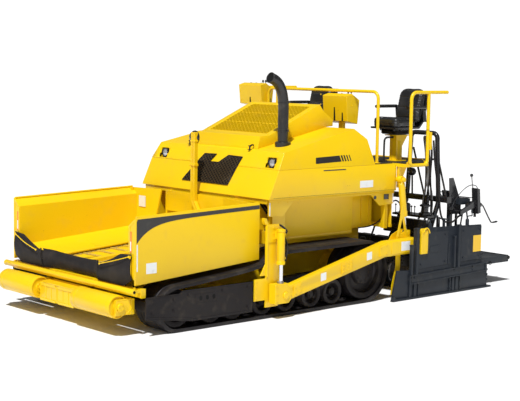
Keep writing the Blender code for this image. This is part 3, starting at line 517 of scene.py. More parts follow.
@both_sides("rubber_belt", belt_rubber, 0, "track")
def rubber_belt(shape):
    shoulder = 0.016
    section = [(belt_inner, 0.045), (belt_inner, shoulder), (belt_inner + 0.005, 0.005),
               (belt_inner + shoulder, 0), (belt_inner + 0.1, 0), (belt_inner + 0.106, 0.005),
               (belt_inner + 0.118, 0.005), (belt_inner + 0.124, 0), (belt_outer - 0.124, 0),
               (belt_outer - 0.118, 0.005), (belt_outer - 0.106, 0.005), (belt_outer - 0.1, 0),
               (belt_outer - shoulder, 0), (belt_outer - 0.005, 0.005), (belt_outer, shoulder),
               (belt_outer, 0.045)]
    rings = []
    for point, _, inward in belt_inward(belt_loop()):
        rings.append([shape.verts.new(point + inward * deep + Vector((0, y, 0))) for y, deep in section])
    for one, two in zip(rings, rings[1:] + rings[:1]):
        for k in range(len(section)):
            shape.faces.new((one[k], two[k], two[(k + 1) % len(section)], one[(k + 1) % len(section)]))


def spaced(rows, gap):
    """Points every gap metres along a closed row of (point, tangent, inward)."""
    places, left = [], 0.0
    for (p, t, n), (q, _, _) in zip(rows, rows[1:] + rows[:1]):
        run = (q - p).length
        while left < run:
            places.append((p + (q - p) * (left / run), t, n))
            left += gap
        left -= run
    return places


wheel_low, wheel_high = belt_inner + 0.06, belt_outer - 0.03
wheel_middle = (wheel_low + wheel_high) / 2
lug_deep = 0.022
for side_name, side in (("left", 1), ("right", -1)):
    lugs = [(p + n * (belt_thick + lug_deep / 2 - 0.001) + Vector((0, side * wheel_middle, 0)), t,
             Vector((0, side, 0))) for p, t, n in spaced(belt_inward(belt_loop()), 0.16)]
    grown("guide_lugs_" + side_name, BLOCKS, lugs, {"Block size": (0.07, 0.04, lug_deep)}, belt_rubber, 0.004)


# ================ track frames and wheels
# A fabricated beam on each side with a rubber-faced drive wheel, an idler, six
# twin road rollers and a support roller, all black and dulled by dust.
def twin_wheel(shape, x, z, radius, dish, hub):
    """A twin-rimmed wheel: rubber tyres, dished webs and a bolted hub."""
    half = (wheel_high - wheel_low) / 2
    groove = 0.03
    web = radius * dish
    profile = [(0, half - 0.012), (hub * 0.55, half - 0.012), (hub * 0.62, half - 0.02),
               (hub * 0.95, half - 0.022), (hub, half - 0.035), (hub * 1.05, half - 0.075),
               (web * 0.92, half - 0.085), (web, half - 0.07), (web + 0.012, half - 0.012),
               (web + 0.022, half - 0.006)]
    tyre = [(radius - 0.016, half - 0.002), (radius - 0.004, half - 0.01), (radius, half - 0.022),
            (radius, groove + 0.004), (radius - 0.008, groove), (radius - 0.036, groove), (radius - 0.036, 0)]
    full = profile + tyre
    mirror_half = [(r, -place) for r, place in full[::-1][1:]]
    add_turned(shape, full + mirror_half, (x, wheel_middle, z), "Y", 40 if radius > 0.2 else 28)


def make_running_gear(shape):
    play = belt_thick + 0.006
    twin_wheel(shape, drive_x, drive_r, drive_r - play, 0.74, 0.17)
    twin_wheel(shape, idler_x, idler_r, idler_r - play, 0.62, 0.075)
    for x in roller_x:
        twin_wheel(shape, x, roller_r + belt_thick + 0.0003, roller_r, 0.6, 0.05)
    twin_wheel(shape, support_x, support_top - 0.1, 0.1 - play, 0.6, 0.018)


def make_track_beam(shape):
    low, high = wheel_middle - 0.05, wheel_middle + 0.05
    add_plate(shape, [(drive_x + 0.3, 0.36), (1.6, 0.3), (idler_x - 0.12, 0.25), (idler_x - 0.12, 0.33),
                      (1.6, 0.42), (drive_x + 0.3, 0.5)], low, high)
    add_box(shape, (support_x - 0.05, wheel_middle - 0.028, 0.4), (support_x + 0.05, wheel_middle + 0.028,
            0.66))
    for x in (0.26, 0.7, 1.1, 1.54, 1.95):
        add_box(shape, (x - 0.05, low - 0.04, 0.34), (x + 0.05, low + 0.01, 0.4))
    add_pipe(shape, [(drive_x + 0.3, wheel_middle, 0.43), (drive_x, wheel_middle, drive_r)], 0.045, 12)


both_sides("running_gear", charcoal, 0, "undercarriage")(make_running_gear)
both_sides("track_beam", charcoal, 0.006)(make_track_beam)


def screws_tree():
    """Geometry Nodes: a hexagon head on a washer on every point, standing along ahead."""
    sizes = [("Head radius", "Float"), ("Head height", "Float")]
    tree, add, link, given, result = open_tree("screws_in_place", sizes, "Screws")
    join = add("GeometryNodeJoinGeometry")
    for sides, wide, tall in ((12, 1.45, 0.22), (6, 1.0, 1.0)):
        part, lift = add("GeometryNodeMeshCylinder"), add("GeometryNodeTransform")
        part.inputs["Vertices"].default_value = sides
        for size, output, share in (("Radius", "Head radius", wide), ("Depth", "Head height", tall * 2)):
            scale = add("ShaderNodeMath")
            scale.operation = "MULTIPLY"
            scale.inputs[1].default_value = share
            link(given.outputs[output], scale.inputs[0])
            link(scale.outputs[0], part.inputs[size])
        link(part.outputs["Mesh"], lift.inputs["Geometry"])
        link(lift.outputs["Geometry"], join.inputs["Geometry"])
    lean, read = add("FunctionNodeAlignRotationToVector"), add("GeometryNodeInputNamedAttribute")
    lean.axis = "Z"
    read.data_type = "FLOAT_VECTOR"
    read.inputs["Name"].default_value = "ahead"
    link(read.outputs["Attribute"], lean.inputs["Vector"])
    close_tree(add, link, given, join.outputs["Geometry"], lean, result)
    return tree


SCREWS = screws_tree()


def screws(name, places, facing, look, radius, height, body="tractor"):
    """Screws at points, all facing one way."""
    rows = [(Vector(p), Vector(facing).normalized(), Vector((0, 0, 1))) for p in places]
    grown(name, SCREWS, rows, {"Head radius": radius, "Head height": height}, look, body=body)


def both_screws(name, places, facing, look, radius, height, body="tractor"):
    """The same screws on the left and, mirrored, on the right."""
    for side, flip in (("left", Vector((1, 1, 1))), ("right", Vector((1, -1, 1)))):
        screws(name + "_" + side, [Vector(p) * flip for p in places], Vector(facing) * flip, look, radius,
               height, side_of(body, side))


hub_screws = []
for x, z, ring, count in [(drive_x, drive_r, 0.135, 10), (idler_x, idler_r, 0.058, 6)] + [(x,
        roller_r + belt_thick, 0.036, 5) for x in roller_x]:
    hub_screws += [(x + ring * cos(2 * pi * k / count), wheel_high - 0.022,
                    z + ring * sin(2 * pi * k / count)) for k in range(count)]
both_screws("hub_screws", hub_screws, (0, 1, 0), charcoal, 0.01, 0.007)


# ================ track guards
# Heavy black plate outside the front of each track, folded outwards at its lower
# edge, stepped at the top, with lightening slots and its fixing screws.
guard_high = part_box("track_guard_left")[1]


@both_sides("track_guard_plate", charcoal, 0.003, "track_guard")
def track_guard_plate(shape):
    face = guard_high.y
    add_box(shape, (2.98, 0.7003, 0.28), (3.07, 1.44, 0.4))
    add_plate(shape, [(3.14, 0.21), (3.14, 0.47), (2.65, 0.47), (2.6, 0.5), (1.52, 0.5), (1.52, 0.12),
                      (2.45, 0.12)], belt_outer + 0.005, face - 0.006)
    # top and rear edges folded out, a doubling plate, a rubbing bar and slots
    add_box(shape, (1.52, belt_outer + 0.006, 0.488), (2.6, face, 0.5))
    add_box(shape, (2.65, belt_outer + 0.006, 0.458), (3.14, face, 0.47))
    add_box(shape, (1.54, face - 0.008, 0.13), (2.44, face - 0.001, 0.15))
    add_box(shape, (2.06, face - 0.008, 0.335), (2.42, face - 0.001, 0.435))
    add_plate(shape, [(3.12, 0.225), (3.12, 0.245), (2.46, 0.16), (2.46, 0.14)], face - 0.008, face - 0.001)


# Near-black film for slots, holes and open ends: painted shade where their insides would be dark. The same
# black also draws the hood's shut lines and the walkway's rubber grips.
shade_and_rubber_black = rubber("shadow_black", (0.004, 0.004, 0.004), (0.01, 0.01, 0.01), 0.9)


# The lightening slots are thin near-black films on the plate's face, not cut holes: painted shade of the
# slots.
@both_sides("guard_slots", shade_and_rubber_black, 0)
def guard_slots(shape):
    face = guard_high.y - 0.001
    for x in (2.14, 2.24, 2.34):
        slot = arc_points((x, 0.392), 0.022, 0, 180, 6) + arc_points((x, 0.376), 0.022, 180, 360, 6)
        add_plate(shape, slot, face, face + 0.0008)


both_screws("guard_screws", [(x, guard_high.y - 0.006, z) for x, z in ((1.6, 0.44), (1.6, 0.2), (2.0, 0.44),
        (2.52, 0.44), (2.74, 0.41), (3.05, 0.41), (3.05, 0.28), (2.74, 0.28))], (0, 1, 0), charcoal, 0.014,
            0.009)


# ================ hopper
# Two folding wings of folded plate, each with an outer wall, a sloping inner
# wall and floor, a closed front edge and a bead along its top. A black sweep
# follows the top of each outer wall, and the small plates are blank.
wing_low, wing_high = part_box("hopper_wing_left")
outer_wall = wing_high.y
wing_front, wing_rear = wing_high.x, wing_low.x


def wall_top(x):
    """Height of the outer wall's top edge."""
    return 1.385 + (3.1 - x) * 0.03


rounded_pair("hopper_wing", yellow, 0.005)


def add_sheet(shape, rows, thick, way):
    """A sheet with thickness along one direction, from rows of points."""
    way = Vector(way).normalized() * thick
    near = [[shape.verts.new(Vector(p)) for p in row] for row in rows]
    far = [[shape.verts.new(Vector(p) + way) for p in row] for row in rows]
    faces = []
    last_row, last = len(rows) - 1, len(rows[0]) - 1
    for i in range(last_row):
        for j in range(last):
            faces.append((near[i][j], near[i][j + 1], near[i + 1][j + 1], near[i + 1][j]))
            faces.append((far[i][j], far[i + 1][j], far[i + 1][j + 1], far[i][j + 1]))
    for i in range(last_row):
        faces.append((near[i][0], near[i + 1][0], far[i + 1][0], far[i][0]))
    for i in range(last_row):
        faces.append((near[i][last], far[i][last], far[i + 1][last], near[i + 1][last]))
    for j in range(last):
        faces.append((near[0][j], far[0][j], far[0][j + 1], near[0][j + 1]))
    for j in range(last):
        faces.append((near[last_row][j], near[last_row][j + 1], far[last_row][j + 1], far[last_row][j]))
    for corners in faces:
        shape.faces.new(corners)


@both_sides("wing_trim", yellow, 0.002, body="hopper_wing")
def wing_trim(shape):
    front = wing_front - 0.004
    # closing plate of the front edge, cut back at the bottom, and its stiffener
    add_plate(shape, [(1.2, 0.8), (1.275, 0.66), (1.327, 0.66), (1.327, 1.36), (1.2, 1.265)], front - 0.012,
              front, "X")
    add_box(shape, (front - 0.055, outer_wall - 0.034, 0.68), (front - 0.012, outer_wall - 0.026, 1.34))
    # bead along the top edge, and the boxed rear corner
    add_pipe(shape, [(wing_front - 0.012, outer_wall - 0.014, wall_top(wing_front)),
                     (wing_rear + 0.012, outer_wall - 0.014, wall_top(wing_rear))], 0.013, 10)
    add_box(shape, (wing_rear + 0.03, outer_wall - 0.075, 1.34), (wing_rear + 0.075, outer_wall - 0.03,
            1.432))
    # lip that leans inwards over the rear half of the wall
    top = [(x, outer_wall - 0.012, wall_top(x) - 0.006) for x in (2.72, 2.25, 1.8, 1.35)]
    foot = [(x, outer_wall - 0.078, wall_top(x) - 0.135) for x in (2.6, 2.17, 1.76, 1.35)]
    add_sheet(shape, [top, foot], 0.006, (0, 0.8, 0.6))
    # edge of the floor beside the hinge
    for x in (3.0, 2.4, 1.8):
        z = 0.69 + 0.075 * (3.1 - x)
        add_plate(shape, [(0.655, z + 0.016), (0.8, z + 0.034), (0.8, z + 0.042), (0.655, z + 0.024)],
                  x - 0.3, x - 0.02, "X")


def make_sweep(shape):
    """The black sweep: deep at the front corner, thinning along the top edge."""
    start, end = wing_front - 0.012, wing_rear + 0.006
    xs = [start - (start - end) * (i / 26) ** 1.7 for i in range(27)]
    upper = [(x, wall_top(x) - 0.022) for x in xs]
    upper[0] = (xs[0], upper[0][1] - 0.03)
    upper.insert(1, (xs[0] - 0.012, wall_top(xs[0]) - 0.026))
    lower = [(x, wall_top(x) - 0.07 - 0.235 * 2.718 ** (-(start - x) / 0.19)) for x in xs]
    add_plate(shape, upper + lower[::-1], outer_wall + 0.0004, outer_wall + 0.0016)


def film(name, colour, worn, roughness=0.35):
    """Printed film stuck on paint: even colour, slightly dulled, faintly bubbled."""
    look, tree, shader = new_look(name, roughness, coat=0.2)
    rubbed = grain(tree, 14, 5)
    tree.links.new(mixed(tree, band(tree, rubbed, 0.55, 0.85), colour, worn), shader.inputs["Base Color"])
    gloss(tree, shader, rubbed, roughness * 0.8, roughness * 1.3)
    ripple(tree, shader, grain(tree, 60, 2), 0.1, 0.0005)
    return look


black_film = film("black_film", (0.022, 0.02, 0.018), (0.045, 0.042, 0.038))
white_film = film("white_film", (0.78, 0.8, 0.8), (0.6, 0.62, 0.62))
amber_film = film("reflective_amber", (0.85, 0.26, 0.01), (0.65, 0.22, 0.02), 0.25)

both_sides("wing_sweep", black_film, 0, body="hopper_wing")(make_sweep)


@both_sides("wing_blank_plates", white_film, 0.0006, body="hopper_wing")
def wing_blank_plates(shape):
    face = outer_wall + 0.0004
    add_box(shape, (2.9, face, 0.72), (3.05, face + 0.002, 0.845))
    add_box(shape, (wing_front - 0.03, face, 0.76), (wing_front - 0.012, face + 0.002, 1.07))
    add_box(shape, (1.347, 0.98, 1.18), (1.349, 1.13, 1.33))
    add_box(shape, (wing_front - 0.003, 1.222, 0.99), (wing_front + 0.001, 1.242, 1.1))


@both_sides("wing_reflectors", amber_film, 0.001, body="hopper_wing")
def wing_reflectors(shape):
    add_box(shape, (wing_front - 0.0035, 1.215, 0.97), (wing_front + 0.0005, 1.249, 1.215))


wing_screws = [(wing_rear + 0.03, y, z) for y in (1.22, 1.27) for z in (0.98, 1.1, 1.22)]
both_screws("wing_rear_screws", wing_screws, (1, 0, 0), yellow, 0.011, 0.008, body="hopper_wing")


def lerp_line(line, y):
    """Height of a line of (y, z) points at y."""
    for (y0, z0), (y1, z1) in zip(line, line[1:]):
        if y0 <= y <= y1:
            return z0 + (z1 - z0) * (y - y0) / (y1 - y0)
    return line[-1][1] if y > line[-1][0] else line[0][1]


# ================ rubber aprons
# Thick reinforced rubber across the hopper's mouth, clamped at the bottom edge:
# a stiff one on each wing, and a wide one between them whose top rolls forward.
def add_apron(shape, low_line, top_line, y_low, y_high, x, bulge, columns, roll_over=0.0, sweep=0.0):
    rows = []
    for i in range(columns + 1):
        y = y_low + (y_high - y_low) * i / columns
        low, top = lerp_line(low_line, y), lerp_line(top_line, y)
        row = []
        for j in range(13):
            t = j / 12
            swell = bulge * sin(pi * min(1, t * 1.1)) + roll_over * t ** 4
            fold = 0.006 * noise.noise(Vector((0, y * 4.5, t * 2.2))) * sin(pi * t)
            ahead_by = sweep * min(1, max(0, abs(y) - 0.36) / 0.22) ** 2
            row.append((x + swell + fold + ahead_by, y, low + (top - low) * t))
        rows.append(row)
    add_sheet(shape, rows, 0.012, (-1, 0, 0))


@both_sides("wing_apron", apron_rubber, 0, "wing_flap", body="hopper_wing")
def wing_apron(shape):
    low_line = [(0.6, 0.572), (1.12, 0.572), (1.262, 0.655)]
    top_line = [(0.6, 0.785), (0.72, 0.8), (0.9, 0.868), (1.06, 0.94), (1.262, 0.955)]
    add_apron(shape, low_line, top_line, 0.602, 1.262, wing_front + 0.013, 0.026, 30, 0.01)


shape = bmesh.new()
add_apron(shape, [(-0.6, 0.575), (0.6, 0.575)], [(-0.6, 0.812), (-0.35, 0.788), (0.1, 0.776), (0.35, 0.78),
                                                 (0.6, 0.8)], -0.599, 0.599, 3.124, 0.026, 44, 0.018, 0.078)
as_piece("centre_apron", shape, apron_rubber, 0, "centre_flap")


@both_sides("apron_bars", yellow, 0.0015, body="hopper_wing")
def apron_bars(shape):
    """Clamping strip at the apron's outer edge."""
    x = wing_front + 0.014
    add_box(shape, (x, 1.24, 0.69), (x + 0.008, 1.262, 0.94))


both_screws("apron_screws", [(wing_front + 0.022, 1.251, z) for z in (0.74, 0.83, 0.91)], (1, 0, 0), yellow,
            0.008, 0.006, body="hopper_wing")


@both_sides("apron_stay", yellow, 0, body="hopper_wing")
def apron_stay(shape):
    """Thin rod that keeps the apron's top forward, with its two eyes."""
    x = wing_front + 0.052
    add_hose(shape, [(x - 0.02, 1.235, 0.925), (x + 0.01, 0.97, 0.85), (x + 0.012, 0.7, 0.785)], 6, 0.006, 8)
    add_drum(shape, 0.015, -0.004, 0.004, (x - 0.02, 1.238, 0.926), "X", 14)
    add_drum(shape, 0.013, -0.004, 0.004, (x + 0.012, 0.698, 0.785), "X", 14)


@both_sides("apron_strap", apron_rubber, 0, body="hopper_wing")
def apron_strap(shape):
    x = wing_front + 0.04
    add_hose(shape, [(x - 0.006, 0.622, 0.815), (x, 0.625, 0.72), (x - 0.012, 0.628, 0.615)], 5, 0.009, 8)


# ================ conveyor
# Two slat conveyors side by side, steel bars on chains, on a wear plate that
# falls from the engine's bay to the hopper's mouth, parted by a raised cover.
rounded_node("conveyor_floor", yellow, 0.004)


def conveyor_top(x):
    return 0.69 + 0.075 * (3.1 - max(x, 1.32)) - 0.03


bar_places = []
for side in (-1, 1):
    x = 3.04
    while x > -1.06:
        z = conveyor_top(x) + 0.008
        lean = Vector((1, 0, -0.075 if x > 1.32 else 0)).normalized()
        bar_places.append((Vector((x, side * 0.318, z)), lean, Vector((0, 1, 0))))
        x -= 0.21
worn_steel = paint("worn_steel_paint", (0.62, 0.42, 0.05), (0.55, 0.38, 0.07), (0.32, 0.27, 0.18), 0.42,
                   chips=0.6)
grown("conveyor_bars", BLOCKS, bar_places, {"Block size": (0.04, 0.5, 0.016)}, worn_steel, 0.003)
links = []
for y in (-0.555, -0.085, 0.085, 0.555):
    for k in range(int((3.04 + 1.06) / 0.07)):
        x = 3.04 - 0.07 * k
        lean = Vector((1, 0, -0.075 if x > 1.32 else 0)).normalized()
        links.append((Vector((x, y, conveyor_top(x) + 0.006)), lean, Vector((0, 1, 0))))
grown("conveyor_chains", BLOCKS, links, {"Block size": (0.055, 0.022, 0.014)}, worn_steel, 0.002)


# ================ push beam
# Fabricated beam that turns on a pin ahead of the frame, with a free-turning
# roller each side that meets the tyres of the truck being pushed.
rounded_node("push_beam", yellow, 0.006)
push_x, push_z, push_r = 3.365, 0.355, 0.135
push_inner, push_outer = 0.42, 1.22
for side_name, side in (("left", 1), ("right", -1)):
    shape = bmesh.new()
    add_turned(shape, [(0.031, push_inner), (0.06, push_inner), (0.064, push_inner + 0.01),
                       (push_r - 0.02, push_inner + 0.01), (push_r - 0.012, push_inner),
                       (push_r - 0.004, push_inner + 0.003), (push_r, push_inner + 0.012),
                       (push_r, push_outer - 0.012), (push_r - 0.004, push_outer - 0.003),
                       (push_r - 0.012, push_outer), (push_r - 0.02, push_outer - 0.01),
                       (0.064, push_outer - 0.01), (0.06, push_outer), (0.031, push_outer)],
               (push_x, 0, push_z), (0, side, 0), 56)
    for y in (0.5, 1.14):
        add_turned(shape, [(push_r - 0.002, y - 0.012), (push_r + 0.0015, y - 0.01),
                           (push_r + 0.0015, y + 0.01), (push_r - 0.002, y + 0.012)], (push_x, 0, push_z),
                   (0, side, 0), 56)
    as_piece("push_roller_shell_" + side_name, shape, yellow, 0, "push_roller_" + side_name,
             body="push_roller_" + side_name)
    screws("roller_cap_screws_" + side_name, [(push_x + 0.052 * cos(a), side * (push_outer - 0.01),
                                               push_z + 0.052 * sin(a) * 1.7)
                                              for a in (k * pi / 3 for k in range(6))], (0, side, 0), yellow,
           0.007, 0.006, body="push_roller_" + side_name)


@both_sides("push_trim", yellow, 0.002, body="push_beam")
def push_trim(shape):
    """Bearing caps and gussets on the outer cheeks, the top cover and ribs of the middle box."""
    add_turned(shape, [(0, 0.03), (0.04, 0.03), (0.048, 0.024), (0.048, 0), (0, 0)], (push_x, 1.2597, push_z),
               "Y", 28)
    add_plate(shape, [(3.2, 0.432), (3.415, 0.432), (3.415, 0.446), (3.2, 0.446)], 1.228, 1.262)
    add_plate(shape, [(3.2, 0.262), (3.3, 0.262), (3.2, 0.34)], 1.2598, 1.268)
    add_box(shape, (3.396, 0.03, 0.4), (3.408, 0.37, 0.44))
    add_box(shape, (3.396, 0.03, 0.215), (3.408, 0.37, 0.245))
    for y in (0.012, 0.13, 0.25, 0.366):
        add_box(shape, (3.394, y - 0.006, 0.24), (3.406, y + 0.006, 0.405))
    add_plate(shape, [(3.19, 0), (3.412, 0), (3.412, 0.3), (3.36, 0.385), (3.19, 0.385)], 0.44, 0.452, "Z")


both_screws("push_screws", [(push_x + 0.034 * cos(a), 1.29, push_z + 0.034 * sin(a)) for a in (0.5, 2.07,
        3.64, 5.21)], (0, 1, 0), yellow, 0.007, 0.006, body="push_beam")


@both_sides("front_beam_trim", yellow, 0.001)
def front_beam_trim(shape):
    """End caps of the round bumper bar, and ends of the cross beam behind it."""
    add_turned(shape, [(0, 0), (0.03, 0), (0.037, -0.006), (0.037, -0.03), (0, -0.03)], (3.27, 1.4055, 0.54),
               "Y", 24)
    add_box(shape, (3.095, 1.378, 0.455), (3.163, 1.386, 0.565))


# Near-black films over the cross beam's slots and a dark disc in the bumper bar's end cap: painted shade of
# these openings.
@both_sides("front_beam_slots", shade_and_rubber_black, 0)
def front_beam_slots(shape):
    for y in (1.0, 1.17):
        add_box(shape, (3.11, y, 0.5602), (3.135, y + 0.1, 0.5612))
    add_drum(shape, 0.018, 0.0005, -0.01, (3.27, 1.4055, 0.54), "Y", 18)


# ================ mast
# Two square bars side by side behind the hopper, clamped together, their feet
# bent to the frame, with a round-backed mirror at the top for the driver.
shape = bmesh.new()
for y in (-0.073, -0.027):
    add_box(shape, (1.2255, y - 0.02, 1.34), (1.2795, y + 0.02, 2.247))
    add_sheet(shape, [[(1.2255, y - 0.02, 1.345), (1.2255, y + 0.065, 1.215)], [(1.2255, y + 0.02, 1.345),
            (1.2255, y + 0.105, 1.215)]], 0.054, (1, 0, 0))
add_box(shape, (1.2203, -0.104, 1.8), (1.286, 0.004, 1.835))
add_box(shape, (1.2203, -0.102, 2.12), (1.284, 0.002, 2.14))
add_box(shape, (1.2203, -0.01, 1.19), (1.2795, 0.118, 1.222))
as_piece("mast_bars", shape, yellow, 0.005, "centre_mast")
shape = bmesh.new()
add_turned(shape, [(0.092, 0.004), (0.09, -0.01), (0.074, -0.04), (0.045, -0.06), (0, -0.068), (0, -0.062),
                   (0.04, -0.054), (0.068, -0.036), (0.083, -0.01), (0.085, 0.004)][::-1],
           (1.212, -0.085, 2.175), (-1, 0, 0), 36)
add_pipe(shape, [(1.222, -0.06, 2.1), (1.2, -0.085, 2.11), (1.195, -0.088, 2.16)], 0.008, 8)
gloss_black = paint("gloss_black_paint", (0.012, 0.012, 0.014), (0.018, 0.018, 0.02), (0.05, 0.05, 0.05),
                    0.24, coat=0.5)
as_piece("mast_mirror_shell", shape, gloss_black, 0)
screws("mast_screws", [(1.287, y, 1.8175) for y in (-0.092, -0.05, -0.008)] + [(1.2805, y, 1.206)
        for y in (0.02, 0.09)], (1, 0, 0), yellow, 0.008, 0.006)


# ================ engine
# Diesel engine under the hood: cast block with ribs, head and rocker covers,
# sump, exhaust manifold and a fan, painted dark, with the radiator core above.
def make_engine(shape):
    add_plate(shape, [(-0.62, 1.3), (0.52, 1.3), (0.52, 1.58), (-0.62, 1.58)], -0.2, 0.2)
    add_plate(shape, [(-0.58, 1.195), (0.4, 1.195), (0.46, 1.31), (-0.6, 1.31)], -0.16, 0.16)
    add_box(shape, (-0.6, -0.17, 1.575), (0.5, 0.17, 1.66))
    for k in range(6):
        x = -0.56 + 0.175 * k
        add_box(shape, (x, -0.12, 1.66), (x + 0.145, 0.12, 1.735))
        add_box(shape, (x + 0.02, -0.235, 1.33), (x + 0.045, 0.235, 1.56))
        add_hose(shape, [(x + 0.07, 0.17, 1.615), (x + 0.07, 0.26, 1.6), (x + 0.07, 0.31, 1.56)], 4, 0.028,
                 10)
    add_pipe(shape, [(-0.52, 0.32, 1.55), (0.46, 0.32, 1.55)], 0.045, 16)
    add_turned(shape, [(0, 0), (0.11, 0), (0.125, 0.02), (0.125, 0.09), (0.07, 0.13), (0, 0.13)],
               (-0.1, 0.32, 1.6), "Z", 28)
    add_pipe(shape, [(-0.45, -0.33, 1.6), (0.35, -0.33, 1.6)], 0.055, 16)
    add_boss(shape, 0.06, 0.16, 0.05, 0.18, (0.15, -0.33, 1.36), "Z", 22)
    add_turned(shape, [(0, 0), (0.15, 0), (0.15, 0.02), (0.05, 0.03), (0.05, 0.09), (0, 0.09)],
               (0.55, 0, 1.5), "X", 30)
    for k in range(8):
        a = 2 * pi * k / 8
        tip = Vector((0, cos(a), sin(a)))
        side = Vector((0.028, -sin(a) * 0.045, cos(a) * 0.045))
        root = Vector((0.655, 0, 1.5))
        add_sheet(shape, [[root + tip * 0.05 - side * 0.6, root + tip * 0.05 + side * 0.6],
                          [root + tip * 0.24 - side, root + tip * 0.24 + side]], 0.004, (1, 0, 0))
    for x in (-0.45, 0.35):
        for y in (-0.36, 0.24):
            add_box(shape, (x - 0.06, y, 1.192), (x + 0.06, y + 0.12, 1.36))


engine_grey = paint("engine_paint", (0.055, 0.06, 0.065), (0.07, 0.07, 0.072), (0.14, 0.12, 0.1), 0.46)
shape = bmesh.new()
make_engine(shape)
as_piece("engine_block", shape, engine_grey, 0.004, "engine")


def lid_top(x):
    """Height of the lid's sloping top."""
    return 2.62 - (x + 0.306) * 0.395 / 0.906


shape = bmesh.new()
add_plate(shape, [(0.54, lid_top(0.54) - 0.075), (-0.19, lid_top(-0.19) - 0.075),
                  (-0.19, lid_top(-0.19) - 0.14), (0.54, lid_top(0.54) - 0.14)], -0.59, 0.59)
add_plate(shape, [(-0.2, lid_top(-0.2) - 0.06), (-0.235, lid_top(-0.235) - 0.06), (-0.235, 2.2), (-0.2, 2.2)],
          -0.6, 0.6)
for y in (-0.6, 0.585):
    add_plate(shape, [(0.56, lid_top(0.56) - 0.062), (-0.2, lid_top(-0.2) - 0.062), (-0.2, 2.1),
                      (0.56, 2.04)], y, y + 0.015)
core_grey, tree, shader = new_look("radiator_core", 0.55, metallic=0.4)
fins = tree.nodes.new("ShaderNodeTexWave")
fins.bands_direction = "Y"
fins.inputs["Scale"].default_value = 42
place = tree.nodes.new("ShaderNodeTexCoord")
tree.links.new(place.outputs["Object"], fins.inputs["Vector"])
tree.links.new(mixed(tree, band(tree, grain(tree, 6, 5), 0.4, 0.7), mixed(tree, fins.outputs["Fac"],
        (0.012, 0.012, 0.012), (0.05, 0.048, 0.045)), (0.07, 0.06, 0.05)), shader.inputs["Base Color"])
ripple(tree, shader, fins.outputs["Fac"], 0.6, 0.004)
as_piece("radiator_core", shape, core_grey, 0.002)


# ================ engine hood
# Pressed and welded sheet: a lower box, an upper part leaning inwards to the
# roof, two headlights let into pockets, a black mesh sheet and plain dark films.
def cut_away(shape, cutter):
    """Removes one closed shape from another, and gives back the result."""
    objects = []
    for part in (shape, cutter):
        mesh = bpy.data.meshes.new("workpiece")
        bmesh.ops.recalc_face_normals(part, faces=part.faces)
        part.to_mesh(mesh)
        part.free()
        objects.append(bpy.data.objects.new("workpiece", mesh))
        scene.collection.objects.link(objects[-1])
    change = objects[0].modifiers.new("cut", "BOOLEAN")
    change.operation = "DIFFERENCE"
    change.object = objects[1]
    bpy.context.view_layer.update()
    graph = bpy.context.evaluated_depsgraph_get()
    result = bmesh.new()
    result.from_mesh(objects[0].evaluated_get(graph).to_mesh())
    bmesh.ops.remove_doubles(result, verts=result.verts, dist=0.00005)
    bmesh.ops.dissolve_limit(result, angle_limit=radians(0.5), verts=result.verts[:], edges=result.edges[:])
    for part in objects:
        bpy.data.objects.remove(part)
    return result


def front_face(z):
    """Where the hood's sloping front is at a height."""
    return 1.159 - (z - 1.463) * 0.4578 if z < 1.83 else 0.991 - (z - 1.83) * 0.5924


lamp_y, lamp_z = (1.119, -1.087), 1.905
rounded_node("engine_hood", yellow, 0.009)
shape = bmesh.new()
add_box(shape, (1.075, -1.26, 1.405), (1.14, 1.26, 1.4625))
as_piece("hood_sill", shape, yellow, 0.004)
shape = node_shape("upper_hood")
for vertex in shape.verts:
    if abs(vertex.co.y) > 1.2:
        vertex.co.y += (0.05 - (vertex.co.z - 1.83) * 0.2165) * (1 if vertex.co.y > 0 else -1)
for y in lamp_y:
    cutter = bmesh.new()
    add_box(cutter, (0.8, y - 0.085, 1.845), (1.1, y + 0.085, 1.972))
    shape = cut_away(shape, cutter)
as_piece("upper_hood_plate", shape, yellow, 0.008, "upper_hood")

shape = bmesh.new()
for y in lamp_y:
    add_box(shape, (0.795, y - 0.092, 1.838), (0.805, y + 0.092, 1.975))
    for low, high in (((0.8, y - 0.092, 1.838), (0.975, y + 0.092, 1.845)), ((0.8, y - 0.092, 1.845),
            (0.965, y - 0.085, 1.9)), ((0.8, y + 0.085, 1.845), (0.965, y + 0.092, 1.9)),
                      ((0.8, y - 0.092, 1.9), (0.93, y - 0.085, 1.975)), ((0.8, y + 0.085, 1.9),
            (0.93, y + 0.092, 1.975)), ((0.8, y - 0.092, 1.972), (0.895, y + 0.092, 1.978))):
        add_box(shape, low, high)
as_piece("headlight_pockets", shape, yellow, 0.001)
shape = bmesh.new()
for y in lamp_y:
    add_turned(shape, [(0.052, 0.036), (0.06, 0.04), (0.064, 0.036), (0.064, 0.0), (0.05, -0.05),
                       (0.02, -0.065), (0, -0.065), (0, 0.01), (0.04, 0.016), (0.052, 0.028)],
               (0.905, y, lamp_z), (1, 0, 0.08), 32)
    add_box(shape, (0.86, y - 0.012, 1.845), (0.89, y + 0.012, 1.862))
as_piece("headlight_cases", shape, gloss_black, 0)
lamp_glass, tree, shader = new_look("headlight_lens", 0.08, coat=1.0)
ribs = tree.nodes.new("ShaderNodeTexWave")
ribs.bands_direction = "Y"
ribs.inputs["Scale"].default_value = 30
place = tree.nodes.new("ShaderNodeTexCoord")
tree.links.new(place.outputs["Object"], ribs.inputs["Vector"])
tree.links.new(mixed(tree, ribs.outputs["Fac"], (0.3, 0.31, 0.33), (0.8, 0.82, 0.85)),
               shader.inputs["Base Color"])
ripple(tree, shader, ribs.outputs["Fac"], 0.5, 0.002)
shader.inputs["Metallic"].default_value = 0.5
shape = bmesh.new()
for y in lamp_y:
    add_turned(shape, [(0, 0.038), (0.03, 0.035), (0.052, 0.027), (0.052, 0.02), (0, 0.02)],
               (0.905, y, lamp_z), (1, 0, 0.08), 28)
as_piece("headlight_lenses", shape, lamp_glass, 0)

